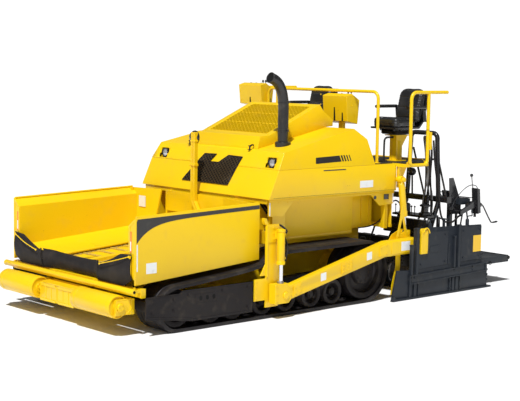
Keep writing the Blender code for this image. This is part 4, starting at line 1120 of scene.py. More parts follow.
# black mesh sheet on the front, its outline stepped, of expanded metal over a plate
grille_outline = [(-0.478, 1.587), (0.464, 1.587), (0.524, 1.829), (0.548, 1.948), (0.267, 1.953),
                  (0.13, 1.853), (-0.05, 1.853), (0.02, 1.953), (-0.22, 1.948), (-0.303, 1.829)]


def inside_outline(y, z, outline):
    hit = False
    for (y0, z0), (y1, z1) in zip(outline, outline[1:] + outline[:1]):
        if (z0 > z) != (z1 > z) and y < y0 + (y1 - y0) * (z - z0) / (z1 - z0):
            hit = not hit
    return hit


shape = bmesh.new()
for outline in (grille_outline[:3] + grille_outline[9:], grille_outline[2:]):
    for vertex in add_plate(shape, outline, 0.0028, 0.0085, "X"):
        vertex.co.x += front_face(vertex.co.z)
as_piece("grille_sheet", shape, charcoal, 0, "front_grille")
strands = []
for row in range(17):
    z = 1.6 + 0.0215 * row
    for column in range(34):
        y = -0.485 + 0.032 * column
        if inside_outline(y - 0.012, z - 0.006, grille_outline) and inside_outline(y + 0.012, z + 0.008,
                grille_outline):
            slope = 0.4578 if z < 1.83 else 0.5924
            side = 1 if (row + column) % 2 else -1
            along = Vector((-slope * 0.0215 * side, 0.032, 0.0215 * side)).normalized()
            outward = Vector((1, 0, slope)).normalized()
            strands.append((Vector((front_face(z) + 0.0135, y, z)), along, outward))
mesh_brown = paint("mesh_paint", (0.075, 0.052, 0.022), (0.095, 0.066, 0.028), (0.16, 0.12, 0.07), 0.42)
grown("grille_mesh", BLOCKS, strands, {"Block size": (0.039, 0.008, 0.004)}, mesh_brown)
shape = bmesh.new()
for (y0, z0), (y1, z1) in zip(grille_outline, grille_outline[1:] + grille_outline[:1]):
    add_pipe(shape, [(front_face(z0) + 0.01, y0, z0), (front_face(z1) + 0.01, y1, z1)], 0.0055, 8)
as_piece("grille_border", shape, gloss_black, 0)


def seam(shape, points, facing, wide=0.006, deep=0.0009):
    """A door's dark shut line along points on a face."""
    facing = Vector(facing).normalized()
    for start, end in zip(points, points[1:]):
        start, end = Vector(start), Vector(end)
        across = (end - start).normalized().cross(facing) * wide / 2
        add_sheet(shape, [[start - across, start + across], [end - across, end + across]], deep, facing)


def upper_side(z):
    """How far out the upper hood's leaning side is at a height."""
    return 1.32 - (z - 1.83) * 0.2165


def side_patch(shape, outline):
    """A film on the upper hood's leaning side, from XZ points."""
    for vertex in add_plate(shape, outline, 0.0005, 0.002):
        vertex.co.y += upper_side(vertex.co.z)


HOOD_SIDE = 1.3203


@both_sides("hood_seams", shade_and_rubber_black, 0)
def hood_seams(shape):
    seam(shape, [(-1.17, HOOD_SIDE, 1.48), (1.08, HOOD_SIDE, 1.48)], (0, 1, 0), 0.003)
    seam(shape, [(-1.15, HOOD_SIDE, 1.48), (-1.15, HOOD_SIDE, 1.815)], (0, 1, 0), 0.003)


@both_sides("hood_sweep", black_film, 0)
def hood_sweep(shape):
    """Blank black block on the leaning side, with slanted bars behind it."""
    side_patch(shape, [(0.345, 1.884), (0.33, 1.962), (-0.1, 1.976), (-0.125, 1.898)])
    for k in range(4):
        x = -0.142 - 0.05 * k
        side_patch(shape, [(x, 1.899 + 0.001 * k), (x + 0.022, 1.977), (x - 0.008 + 0.004 * k, 1.978),
                           (x - 0.03 + 0.004 * k, 1.9)])
    add_box(shape, (-0.196, HOOD_SIDE, 1.786), (0.214, HOOD_SIDE + 0.001, 1.8))


@both_sides("hood_blank_plates", white_film, 0.0006)
def hood_blank_plates(shape):
    add_box(shape, (-0.716, HOOD_SIDE, 1.535), (-0.467, HOOD_SIDE + 0.002, 1.628))


@both_sides("hood_latches", yellow, 0.001)
def hood_latches(shape):
    for x in (0.8, -0.96):
        add_boss(shape, 0.013, 0.004, 0.009, 0.007, (x, HOOD_SIDE, 1.515), "Y", 20)


@both_sides("roof_latches", apron_rubber, 0.001)
def roof_latches(shape):
    """Rubber draw latches that hold the lid down at its front corners."""
    y = 0.62
    add_box(shape, (0.855, y - 0.02, 2.044), (0.895, y + 0.02, 2.052))
    add_hose(shape, [(0.872, y, 2.048), (0.868, y, 2.085), (0.835, y, 2.105), (0.805, y, 2.1)], 4, 0.01, 10)
    add_pipe(shape, [(0.868, y - 0.024, 2.092), (0.868, y + 0.024, 2.092)], 0.008, 10)


# ================ radiator lid
# Raised sheet box hinged at its rear edge, its sloping top of yellow expanded
# metal over a fine dark screen, with a frame round the opening and two rods below.
shape = node_shape("grille_lid")
cutter = bmesh.new()
add_plate(cutter, [(0.555, lid_top(0.555) + 0.05), (-0.245, lid_top(-0.245) + 0.05),
                   (-0.245, lid_top(-0.245) - 0.1), (0.555, lid_top(0.555) - 0.1)], -0.6, 0.6)
shape = cut_away(shape, cutter)
as_piece("lid_shell", shape, yellow, 0.006, "grille_lid", body="grille_lid")
slope_way = Vector((-0.906, 0, 0.395)).normalized()
slope_out = Vector((0.395, 0, 0.906)).normalized()
for name, side, wide in (("lid_mesh", 1, 0.02), ("lid_mesh_ties", -1, 0.006)):
    strands = []
    for row in range(16):
        for column in range(17):
            place = Vector((0.545, -0.595 + 0.07 * (column + 0.5),
                            lid_top(0.545) - 0.01)) + slope_way * (0.0535 * (row + 0.5))
            way = (Vector((0, 0.07, 0)) + slope_way * 0.0535 * side).normalized()
            strands.append((place, way, slope_out))
    grown(name, BLOCKS, strands, {"Block size": (0.0885, wide, 0.005)}, yellow, body="grille_lid")
shape = bmesh.new()
foot = Vector((0.55, -0.598, lid_top(0.55) - 0.05))
add_sheet(shape, [[foot, foot + Vector((0, 1.196, 0))], [foot + slope_way * 0.862, foot + slope_way * 0.862
                                                         + Vector((0, 1.196, 0))]], 0.004, -slope_out)
screen_brown = rubber("screen_brown", (0.05, 0.028, 0.004), (0.075, 0.045, 0.008), 0.7)
as_piece("lid_screen", shape, screen_brown, 0, body="grille_lid")
shape = bmesh.new()
for y in (-0.6, 0.585):
    foot = Vector((0.555, y, lid_top(0.555) - 0.002))
    add_sheet(shape, [[foot, foot + Vector((0, 0.015, 0))], [foot + slope_way * 0.87, foot + slope_way * 0.87
                                                             + Vector((0, 0.015, 0))]], 0.022, -slope_out)
for share in (0.0, 0.29, 0.585, 0.862):
    foot = Vector((0.555, -0.6, lid_top(0.555) - 0.004)) + slope_way * share
    lean = slope_way * 0.012
    add_sheet(shape, [[foot, foot + lean], [foot + Vector((0, 1.2, 0)), foot + Vector((0, 1.2, 0)) + lean]],
              0.018, -slope_out)
for y in (-0.22, 0.22):
    foot = Vector((0.555, y, lid_top(0.555) - 0.024))
    add_pipe(shape, [foot, foot + slope_way * 0.865], 0.006, 8)
for y in (-0.45, 0.45):
    add_drum(shape, 0.018, -0.045, 0.045, (-0.555, y, 2.352), "Y", 18)
as_piece("lid_frame", shape, yellow, 0.0015, body="grille_lid")
screws("lid_screws", [Vector((0.585 - 0.86 * k / 6, y, lid_top(0.585 - 0.86 * k / 6) + 0.001))
                      for k in range(7) for y in (-0.648, 0.648)], tuple(slope_out), yellow, 0.008, 0.005,
       body="grille_lid")


# ================ exhaust
# Black steel stack through the roof with a flange, clamp and a bend at the top,
# cut square at its open end.
shape = bmesh.new()
stack_x, stack_y = 0.55, 0.9
line = smooth_line([(stack_x + ahead_by, stack_y, z) for ahead_by, z in ((0, 2.1), (0, 2.4), (0, 2.6),
        (0.01, 2.7), (0.036, 2.8), (0.084, 2.885), (0.15, 2.942), (0.232, 2.976))], 5)
add_pipe(shape, line, 0.0695, 32)
add_turned(shape, [(0, -0.075), (0.1, -0.075), (0.105, 0.0), (0.105, 0.03), (0.078, 0.045), (0, 0.045)],
           (stack_x, stack_y, 2.115), "Z", 32)
for z in (2.3, 2.66):
    add_turned(shape, [(0.069, -0.012), (0.075, -0.011), (0.075, 0.011), (0.069, 0.012)],
               (stack_x, stack_y, z), "Z", 32)
end_way = (line[-1] - line[-2]).normalized()
add_turned(shape, [(0.062, -0.004), (0.072, -0.004), (0.073, 0.006), (0.066, 0.01), (0.062, 0.006)], line[-1],
           tuple(end_way), 32)
add_box(shape, (stack_x - 0.012, stack_y + 0.07, 2.288), (stack_x + 0.012, stack_y + 0.095, 2.312))
stack_black = paint("stack_paint", (0.014, 0.014, 0.015), (0.022, 0.021, 0.02), (0.07, 0.045, 0.03), 0.34,
                    coat=0.35)
as_piece("exhaust_pipe", shape, stack_black, 0, "exhaust_stack")
# A near-black disc just inside the open end: painted shade of the pipe's inside.
shape = bmesh.new()
add_drum(shape, 0.063, 0.0006, -0.004, line[-1], tuple(end_way), 32)
as_piece("exhaust_mouth", shape, shade_and_rubber_black, 0)


# ================ sides below the hood
# Welded and painted side frames with a tank between them, its bolted covers, and
# the rubber hoses that pass behind them.
rounded_pair("side_frame", yellow, 0.005)


@both_sides("tank_trim", yellow, 0.003)
def tank_trim(shape):
    face = 1.1005
    add_box(shape, (-0.545, face, 0.915), (0.685, face + 0.006, 0.945))
    add_box(shape, (-0.545, face, 1.43), (0.685, face + 0.006, 1.46))
    add_box(shape, (-1.01, 1.02, 0.955), (-0.6, 1.03, 1.425))
    add_box(shape, (0.75, 1.02, 0.955), (1.1, 1.03, 1.425))
    for x in (-0.95, -0.8):
        add_box(shape, (x, 1.03, 1.0), (x + 0.012, 1.045, 1.4))


both_screws("tank_screws", [(x, 1.1065, 0.93) for x in (0.62, 0.35, 0.08, -0.2, -0.48)] + [(x, 1.2855, 1.42)
        for x in (0.8, 0.95, 1.08, -0.8, -0.95)], (0, 1, 0), yellow, 0.009, 0.006)


@both_sides("side_hoses", apron_rubber, 0)
def side_hoses(shape):
    for shift in (0, 0.045):
        add_hose(shape, [(1.06 - shift, 1.05, 1.4), (0.93 - shift, 1.08, 1.2), (0.96 - shift * 0.5, 1.08,
                1.03), (1.12, 1.09, 0.99 - shift * 0.3)], 7, 0.014, 10)
    add_hose(shape, [(-0.86, 1.1, 1.42), (-1.02, 1.14, 1.34), (-1.105, 1.16, 1.2), (-1.06, 1.15, 1.06),
                     (-0.9, 1.12, 0.98), (-0.68, 1.1, 0.965)], 8, 0.009, 10)


@both_sides("rear_wall", yellow, 0.003)
def rear_wall(shape):
    """Wall that closes the side's rear end, and the strap that stiffens it."""
    add_box(shape, (-1.166, 0.705, 0.955), (-1.15, 1.258, 1.425))
    add_box(shape, (-1.175, 1.18, 0.955), (-1.14, 1.258, 1.0))


@both_sides("side_strips", white_film, 0)
def side_strips(shape):
    add_box(shape, (1.098, 1.2853, 1.262), (1.118, 1.2868, 1.425))
    add_box(shape, (-1.162, 1.2853, 1.3), (-1.142, 1.2868, 1.435))


@both_sides("side_markers", gloss_black, 0.002)
def side_markers(shape):
    add_box(shape, (-1.06, 1.2853, 1.35), (-0.97, 1.296, 1.42))
    add_drum(shape, 0.028, 0, -0.004, (-0.8, 1.2865, 1.385), "Y", 20)


# ================ tow points
# A plate outside each track carries the tow cylinder; its rod raises the slider
# that holds the front pin of the tow arm. Barrel painted, rod plated.
chrome, tree, shader = new_look("plated_rod", 0.1, metallic=1.0)
scratch = grain(tree, 30, 5, (1, 1, 0.06))
tree.links.new(mixed(tree, band(tree, scratch, 0.45, 0.75), (0.82, 0.83, 0.85), (0.62, 0.63, 0.65)),
               shader.inputs["Base Color"])
gloss(tree, shader, scratch, 0.06, 0.22)
steel, tree, shader = new_look("worn_steel", 0.34, metallic=0.9)
scratch = grain(tree, 22, 6)
tree.links.new(mixed(tree, band(tree, scratch, 0.45, 0.75), (0.42, 0.42, 0.43), (0.22, 0.18, 0.15)),
               shader.inputs["Base Color"])
gloss(tree, shader, scratch, 0.25, 0.55)
ripple(tree, shader, scratch, 0.2, 0.0008)

rounded_pair("tow_post", yellow, 0.004)
tow_x, tow_y = 1.137, 1.535


@both_sides("tow_trim", yellow, 0.002)
def tow_trim(shape):
    """Post's folded edges, cylinder gland and cap, the tie's gusset."""
    for low, high in (((1.105, 1.4545, 0.96), (1.3, 1.466, 1.175)), ((1.285, 1.4345, 0.53),
            (1.305, 1.47, 1.175))):
        add_box(shape, low, high)
    add_turned(shape, [(0.032, 0), (0.056, 0), (0.056, 0.035), (0.05, 0.045), (0.032, 0.045)],
               (tow_x, tow_y, 0.684), "Z", 28)
    add_turned(shape, [(0, 0), (0.05, 0), (0.056, 0.006), (0.056, 0.03), (0.03, 0.04), (0, 0.04)],
               (tow_x, tow_y, 1.088), "Z", 28)
    for z in (0.76, 1.06):
        add_turned(shape, [(0, 0.045), (0.017, 0.045), (0.017, 0.07), (0.012, 0.075), (0, 0.075)],
                   (tow_x, tow_y, z), (-1, 0, 0), 16)
    add_plate(shape, [(1.272, 1.18), (1.32, 1.18), (1.345, 1.225), (1.345, 1.262), (1.31, 1.262)], 1.4, 1.455)
    add_plate(shape, [(1.3105, 0.55), (1.4, 0.55), (1.3105, 0.7)], 1.437, 1.452)


both_screws("tow_post_screws", [(1.465, 1.4555, 0.28 + 0.07 * k) for k in range(4)] + [(1.2, 1.4665, z)
        for z in (1.0, 1.07, 1.14)], (0, 1, 0), yellow, 0.011, 0.008)


@both_sides("tow_hoses", apron_rubber, 0)
def tow_hoses(shape):
    add_hose(shape, [(1.062, tow_y, 1.06), (1.02, 1.5, 1.1), (1.06, 1.4, 1.16), (1.14, 1.3, 1.12),
                     (1.16, 1.26, 1.08)], 7, 0.013, 10)
    add_hose(shape, [(1.062, tow_y, 0.76), (1.01, 1.52, 0.86), (1.03, 1.47, 1.02), (1.1, 1.36, 1.13),
                     (1.17, 1.28, 1.08)], 7, 0.013, 10)


@both_sides("slider_block", yellow, 0.005, "tow_slider", body="tow_slider")
def slider_block(shape):
    add_box(shape, (1.2, 1.475, 0.2), (1.27, 1.59, 0.45))
    add_box(shape, (1.05, 1.475, 0.41), (1.205, 1.59, 0.45))
    add_plate(shape, [(1.205, 0.2), (1.205, 0.415), (1.06, 0.415), (1.0, 0.36), (1.0, 0.24), (1.04, 0.2)],
              1.565, 1.59)
    add_boss(shape, 0.048, 0.012, 0.04, 0.02, (1.09, 1.5895, 0.3), "Y", 26)


@both_sides("slider_rod", chrome, 0, body="tow_slider")
def slider_rod(shape):
    add_drum(shape, 0.0295, 0, 0.4, (tow_x, tow_y, 0.452), "Z", 26)


@both_sides("slider_pin", steel, 0, body="tow_slider")
def slider_pin(shape):
    add_drum(shape, 0.0278, 0, 0.1, (1.09, 1.48, 0.3), "Y", 24)
    add_boss(shape, 0.042, 0.022, 0.032, 0.03, (tow_x, tow_y, 0.4505), "Z", 24)


both_screws("slider_screws", [(x, 1.5905, z) for x, z in ((1.235, 0.24), (1.235, 0.33), (1.235, 0.42))],
            (0, 1, 0), yellow, 0.01, 0.008, body="tow_slider")


# ================ tow arms
# Long tapering box arms from the tow pins to the screed, bolted together from
# two lengths, with blank plates where the ratings would be.
rounded_pair("tow_arm", yellow, 0.007)


def arm_line(x):
    """Middle height of the tow arm."""
    return 0.3 + (1.09 - x) * 0.4185 / 1.826 if x > -0.736 else 0.7185


@both_sides("arm_trim", yellow, 0.002, body="screed")
def arm_trim(shape):
    face = 1.5555
    for low, high in ((-0.115, 0.085), (0.8, 0.93), (-0.78, -0.62)):
        points = [(low, arm_line(low) - 0.075), (high, arm_line(high) - 0.07), (high, arm_line(high) + 0.07),
                  (low, arm_line(low) + 0.075)]
        add_plate(shape, points, face, face + 0.01)
    add_plate(shape, [(-0.86, 0.64), (-1.3, 0.65), (-1.3, 0.812), (-0.86, 0.802)], face, face + 0.007)
    add_plate(shape, [(-1.52, 0.6), (-1.72, 0.535), (-1.72, 0.72), (-1.52, 0.765)], face, face + 0.009)
    add_turned(shape, [(0.03, 0), (0.06, 0), (0.06, 0.006), (0.055, 0.009), (0.03, 0.009)], (1.09, face, 0.3),
               "Y", 30)


both_screws("arm_screws", [(x, 1.5656, arm_line(x) + s * 0.045) for x in (-0.09, -0.03, 0.03, 0.06)
                           for s in (-1, 0.1, 1)] + [(x, 1.5656, arm_line(x) + s * 0.038) for x in (0.83, 0.9)
                                                     for s in (-1, 1)] + [(x, 1.5656, arm_line(x) + s * 0.055)
        for x in (-0.75, -0.65) for s in (-1, 1)] + [(x, 1.5648, 0.665 - (x + 1.55) * -0.32 + s * 0.05)
                                                     for x in (-1.55, -1.68) for s in (-1, 1)], (0, 1, 0),
            yellow, 0.011, 0.008, body="screed")


@both_sides("arm_blank_plates", white_film, 0, body="screed")
def arm_blank_plates(shape):
    face = 1.5557
    for x, z in ((0.409, 0.461), (-0.431, 0.654)):
        add_plate(shape, [(x - 0.048, z - 0.043), (x + 0.048, z - 0.055), (x + 0.048, z + 0.045),
                          (x - 0.048, z + 0.057)], face, face + 0.0015)
    add_box(shape, (-1.215, face + 0.007, 0.672), (-1.045, face + 0.0085, 0.795))


@both_sides("lift_links", yellow, 0.002, body="screed")
def lift_links(shape):
    """Lugs at the rod's eye, the forked link above them, and the lower steadying plate."""
    for y in (1.3365, 1.452):
        add_plate(shape, [(-1.325, 0.79), (-1.02, 0.79), (-1.09, 0.87), (-1.255, 0.935), (-1.325, 0.925)], y,
                  y + 0.011)
    add_box(shape, (-1.325, 1.34, 0.785), (-1.02, 1.475, 0.8))
    add_drum(shape, 0.03, 0, 0.004, (-1.29, 1.4628, 0.89), "Y", 22)
    add_drum(shape, 0.0216, 0, 0.13, (-1.29, 1.3355, 0.89), "Y", 22)
    add_plate(shape, [(-1.135, 1.275), (-1.165, 1.275), (-1.185, 1.15), (-1.27, 0.8), (-1.23, 0.8),
                      (-1.15, 1.1), (-1.075, 0.8), (-1.03, 0.8), (-1.115, 1.15)], 1.4665, 1.4735)
    add_plate(shape, [(-1.03, 0.8), (-1.13, 0.8), (-1.125, 0.42), (-1.0, 0.07), (-0.95, 0.07), (-0.965, 0.2),
                      (-1.035, 0.44)], 1.4675, 1.4765)
    add_box(shape, (-1.12, 1.462, 0.7), (-1.04, 1.482, 0.76))


# ================ operator's deck
# Painted deck plate behind the hood, its rear corners cut off, with ribbed rubber
# mats, screwed toe boards, and the ears that carry the lift cylinders.
cutter = bmesh.new()
for side in (-1, 1):
    add_plate(cutter, [(-1.585, 1.525 * side), (-2.03, 1.08 * side), (-2.03, 1.56 * side),
                       (-1.585, 1.56 * side)], 1.72, 1.92, "Z")
as_piece("operator_deck_plate", cut_away(node_shape("operator_deck"), cutter), yellow, 0.005, "operator_deck")


def tread(name, colour, worn, pattern=38):
    """Tread plate: raised tears in two directions, rubbed brighter on top."""
    look, tree, shader = new_look(name, 0.45, metallic=0.2)
    place = tree.nodes.new("ShaderNodeTexCoord")
    heights = []
    for turn in (45, -45):
        lay = tree.nodes.new("ShaderNodeMapping")
        lay.inputs["Rotation"].default_value = (0, 0, radians(turn))
        lay.inputs["Scale"].default_value = (pattern, pattern * 0.35, 1)
        tears = tree.nodes.new("ShaderNodeTexVoronoi")
        tears.inputs["Randomness"].default_value = 0.0
        tree.links.new(place.outputs["Object"], lay.inputs["Vector"])
        tree.links.new(lay.outputs["Vector"], tears.inputs["Vector"])
        raised = tree.nodes.new("ShaderNodeMapRange")
        raised.inputs["From Min"].default_value, raised.inputs["From Max"].default_value = 0.42, 0.25
        tree.links.new(tears.outputs["Distance"], raised.inputs["Value"])
        heights.append(raised.outputs["Result"])
    both = tree.nodes.new("ShaderNodeMath")
    both.operation = "MAXIMUM"
    tree.links.new(heights[0], both.inputs[0])
    tree.links.new(heights[1], both.inputs[1])
    dust = band(tree, grain(tree, 6, 5), 0.42, 0.75)
    dusty = tuple(c * 0.5 + 0.03 for c in worn)
    tree.links.new(mixed(tree, dust, mixed(tree, both.outputs[0], colour, worn), dusty),
                   shader.inputs["Base Color"])
    ripple(tree, shader, both.outputs[0], 0.7, 0.003)
    return look


mat_black = tread("ribbed_mat", (0.014, 0.014, 0.015), (0.035, 0.034, 0.033))
slate_tread = tread("slate_tread", (0.02, 0.024, 0.031), (0.06, 0.065, 0.07), 26)
shape = bmesh.new()
for side in (-1, 1):
    outline = [(-1.97, 0.03), (-1.22, 0.03), (-1.22, 1.42), (-1.64, 1.42), (-1.97, 1.09)]
    add_plate(shape, [(x, y * side) for x, y in outline], 1.8302, 1.8385, "Z")
add_box(shape, (-1.16, -1.25, 1.8302), (-0.8, 1.25, 1.8385))
as_piece("deck_mats", shape, mat_black, 0.002)


@both_sides("deck_trim", yellow, 0.002)
def deck_trim(shape):
    """Toe board along the rear edge, end of the side edge, brackets and the ear's pin cap."""
    add_box(shape, (-2.004, 0.1, 1.782), (-1.998, 1.07, 1.85))
    add_box(shape, (-1.27, 1.4985, 1.8), (-1.19, 1.5045, 1.868))
    add_plate(shape, [(-1.2, 1.79), (-1.2, 1.5), (-1.24, 1.5), (-1.4, 1.79)], 1.3, 1.312)
    add_plate(shape, [(-1.2, 1.79), (-1.2, 1.5), (-1.24, 1.5), (-1.4, 1.79)], 0.72, 0.732)
    add_boss(shape, 0.034, 0.01, 0.028, 0.014, (-1.185, 1.4505, 1.617), "Y", 24)


@both_sides("deck_edge", charcoal, 0.001)
def deck_edge(shape):
    """Dark strips along the edge between the hoop's feet and round the cut corner."""
    add_box(shape, (-1.607, 1.4985, 1.788), (-1.27, 1.5045, 1.85))
    add_plate(shape, [(-1.604, 1.506), (-2.005, 1.105), (-1.999, 1.099), (-1.6, 1.498)], 1.788, 1.842, "Z")


both_screws("deck_screws", [(-2.0042, y, 1.805) for y in (0.2, 0.5, 0.8, 1.0)], (-1, 0, 0), yellow, 0.008,
            0.006)


# ================ handrails
# Bent steel tube: a hoop at each end of the deck and a long cross rail ahead of
# the seats, on screwed foot plates; two sheet consoles on posts beside the rail.
@both_sides("guard_rail_tube", yellow, 0, "guard_rail")
def guard_rail_tube(shape):
    y, foot, top, bend, front, rear = 1.526, 1.795, 2.8, 0.1, -1.21, -1.56
    turns = [k * pi / 12 for k in range(7)]
    line = [(rear, y, 2.3), (rear, y, foot + 0.1)]
    line += [(rear + 0.06 * (1 - cos(a)), y, foot + 0.08 - 0.06 * sin(a)) for a in turns]
    line += [(front - 0.06 * (1 - sin(a)), y, foot + 0.08 - 0.06 * cos(a)) for a in turns]
    line += [(front, y, top - bend)]
    line += [(front - bend * (1 - cos(a)), y, top - bend + bend * sin(a)) for a in turns[1:]]
    add_pipe(shape, line + [(-1.945, y, top)], 0.0238, 18)
    add_pipe(shape, [(rear, y, 2.28), (rear, y, top - 0.005)], 0.0238, 18)
    add_turned(shape, [(0, 0), (0.0238, 0), (0.018, 0.006), (0, 0.008)], (-1.945, y, top), (-1, 0, 0), 18)
    add_box(shape, (rear - 0.055, y - 0.022, 2.02), (rear - 0.02, y + 0.03, 2.26))
    for x in (front, rear):
        add_box(shape, (x - 0.04, 1.5003, 1.792), (x + 0.04, 1.51, 1.86))
        add_box(shape, (x - 0.028, 1.508, 1.798), (x + 0.028, 1.53, 1.83))


both_screws("rail_screws", [(x + s * 0.031, 1.5103, 1.816) for x in (-1.21, -1.56) for s in (-1, 1)],
            (0, 1, 0), yellow, 0.007, 0.005)
rail_x = -0.95


def console_shape(shape, low, high, y_low, y_high):
    x = rail_x
    add_plate(shape, [(x - 0.1, low), (x + 0.1, low + 0.04), (x + 0.13, high - 0.03), (x + 0.02, high),
                      (x - 0.13, high - 0.09)], y_low, y_high)


shape = bmesh.new()
console_shape(shape, 2.34, 2.76, 0.217, 0.684)
add_box(shape, (rail_x - 0.03, 0.44, 1.8303), (rail_x + 0.03, 0.52, 2.37))
add_box(shape, (rail_x - 0.07, 0.4, 1.8303), (rail_x + 0.07, 0.56, 1.842))
as_piece("front_console", shape, yellow, 0.012, "front_handrail")
shape = bmesh.new()
line = [(rail_x, 1.16, 1.831), (rail_x, 1.16, 2.7)]
line += [(rail_x, 1.16 - 0.1 * (1 - cos(a)), 2.7 + 0.1 * sin(a)) for a in (k * pi / 12 for k in range(1, 7))]
line += [(rail_x, -0.95 - 0.1 * sin(a), 2.7 + 0.1 * cos(a)) for a in (k * pi / 12 for k in range(0, 7))]
line += [(rail_x, -1.05, 1.831)]
add_pipe(shape, line, 0.0218, 18)
for y in (1.16, -1.05):
    add_boss(shape, 0.055, 0.008, 0.026, 0.014, (rail_x, y, 1.8303), "Z", 24)
as_piece("cross_rail", shape, yellow, 0)
shape = bmesh.new()
console_shape(shape, 2.52, 2.87, -1.58, -1.09)
add_box(shape, (rail_x - 0.03, -1.24, 1.8303), (rail_x + 0.03, -1.18, 2.6))
add_box(shape, (rail_x - 0.06, -1.27, 1.8303), (rail_x + 0.06, -1.15, 1.842))
as_piece("side_console_box", shape, yellow, 0.01, "side_console")

# control panels on the consoles' sloping tops: black plates, keys, dials and levers
panel_way = Vector((-0.15, 0, -0.09)).normalized()
panel_out = Vector((-0.09, 0, 0.15)).normalized()
shape, dial_shape, key_places = bmesh.new(), bmesh.new(), []
for high, y_low, y_high in ((2.76, 0.217, 0.684), (2.87, -1.58, -1.09)):
    corner = Vector((rail_x + 0.02, y_low + 0.03, high)) + panel_way * 0.015
    reach, wide = panel_way * 0.145, Vector((0, y_high - y_low - 0.06, 0))
    add_sheet(shape, [[corner, corner + wide], [corner + reach, corner + reach + wide]], 0.004,
              tuple(panel_out))
    count = int((y_high - y_low - 0.14) / 0.05)
    for k in range(count):
        for row in range(2):
            if (k + row) % 5 != 4:
                key_places.append((corner + Vector((0, 0.05 + 0.05 * k, 0))
                                   + panel_way * (0.085 + 0.035 * row) + panel_out * 0.008, panel_way,
                                   Vector((0, 1, 0))))
    for k in range(3):
        middle = corner + Vector((0, 0.09 + 0.115 * k, 0)) + panel_way * 0.038 + panel_out * 0.004
        add_turned(shape, [(0.022, 0.0), (0.033, 0.0), (0.033, 0.012), (0.029, 0.014), (0.026, 0.008),
                           (0.022, 0.006)], tuple(middle), tuple(panel_out), 26)
        add_turned(dial_shape, [(0, 0.001), (0.027, 0.001), (0.027, 0.006), (0, 0.008)], tuple(middle),
                   tuple(panel_out), 24)
    for k in range(2):
        foot = corner + Vector((0, y_high - y_low - 0.15 + 0.05 * k, 0)) + panel_way * 0.05
        top = foot + Vector((0.01 - 0.01 * k, 0, 0.06))
        add_pipe(shape, [foot, foot + (top - foot) * 0.5, top], 0.005, 8)
        add_turned(shape, [(0, -0.022), (0.011, -0.018), (0.016, -0.004), (0.014, 0.01), (0.007, 0.018),
                           (0, 0.02)], tuple(top), "Z", 18)
        add_turned(shape, [(0.005, 0), (0.018, 0), (0.012, 0.012), (0.005, 0.022)],
                   tuple(foot + panel_out * 0.003), tuple(panel_out), 18)
as_piece("control_panels", shape, black_edge, 0.0008)
dial_glass, tree, shader = new_look("dial_face", 0.12, coat=1.0)
tree.links.new(mixed(tree, band(tree, grain(tree, 120, 2), 0.5, 0.62), (0.03, 0.03, 0.035),
                     (0.55, 0.55, 0.5)), shader.inputs["Base Color"])
as_piece("control_dials", dial_shape, dial_glass, 0)
key_grey = rubber("key_grey", (0.2, 0.2, 0.21), (0.26, 0.25, 0.24), 0.5)
grown("control_keys", BLOCKS, key_places, {"Block size": (0.018, 0.026, 0.009)}, key_grey, 0.0015)

# Near-black bars on the consoles' faces: painted shade of their slots.
shape = bmesh.new()
for y, low, high in ((0.44, 2.385, 2.64), (0.59, 2.385, 2.5), (-1.34, 2.58, 2.66)):
    face = rail_x + 0.101 + 0.03 * ((low + high) / 2 - (2.38 if y > 0 else 2.56)) / (0.35 if y > 0 else 0.28)
    add_box(shape, (face - 0.012, y - 0.011, low), (face + 0.004, y + 0.011, high))
as_piece("console_slots", shape, shade_and_rubber_black, 0.001)
screws("console_screws", [(rail_x + 0.118, y, z) for y in (0.17, 0.78, -1.55, -1.12) for z in (2.6, 2.74)],
       (1, 0, 0), yellow, 0.007, 0.005)


# ================ seats
# Moulded foam under glossy black vinyl, puffed by a cloth simulation, piped at
# its seams, on a ribbed suspension boot and a slide that turns on the pedestal.
vinyl, tree, shader = new_look("seat_vinyl", 0.3, coat=0.25)
wear = grain(tree, 5, 5)
tree.links.new(mixed(tree, band(tree, wear, 0.45, 0.8), (0.012, 0.012, 0.013), (0.028, 0.027, 0.027)),
               shader.inputs["Base Color"])
gloss(tree, shader, wear, 0.22, 0.42)
ripple(tree, shader, grain(tree, 260, 3), 0.25, 0.0008)


def puffed(shape, voxel, cap, pressure=4.0):
    """A closed form filled by a cloth simulation, no point of it moving more than the cap."""
    mesh = bpy.data.meshes.new("pad")
    bmesh.ops.recalc_face_normals(shape, faces=shape.faces)
    shape.to_mesh(mesh)
    shape.free()
    pad = bpy.data.objects.new("pad", mesh)
    scene.collection.objects.link(pad)
    soften = pad.modifiers.new("remesh", "REMESH")
    soften.mode = "VOXEL"
    soften.voxel_size = voxel
    ease = pad.modifiers.new("ease", "SMOOTH")
    ease.factor, ease.iterations = 0.5, 14
    bpy.context.view_layer.update()
    pad.data = bpy.data.meshes.new_from_object(pad.evaluated_get(bpy.context.evaluated_depsgraph_get()))
    pad.modifiers.clear()
    before = [v.co.copy() for v in pad.data.vertices]
    cloth = pad.modifiers.new("puff", "CLOTH")
    cloth.settings.quality = 4
    cloth.settings.use_pressure = True
    cloth.settings.uniform_pressure_force = pressure
    cloth.settings.effector_weights.gravity = 0
    for moment in range(1, 21):
        scene.frame_set(moment)
    after = pad.evaluated_get(bpy.context.evaluated_depsgraph_get()).data
    moved = [v.co.copy() for v in after.vertices]
    pad.modifiers.clear()
    scene.frame_set(1)
    for vertex, start, end in zip(pad.data.vertices, before, moved):
        step = end - start
        vertex.co = start + step * min(1.0, cap / max(step.length, 1e-9))
    result = bmesh.new()
    result.from_mesh(pad.data)
    bpy.data.objects.remove(pad)
    return result


def channels(shape, lines, axis, facing, width, depth):
    """Presses sewn channels into the faces that look one way."""
    facing = Vector(facing)
    shape.normal_update()
    for vertex in shape.verts:
        if vertex.normal.dot(facing) > 0.2:
            for line in lines:
                gap = (vertex.co[axis] - line) / width
                vertex.co -= facing * depth * 2.718 ** (-gap * gap)


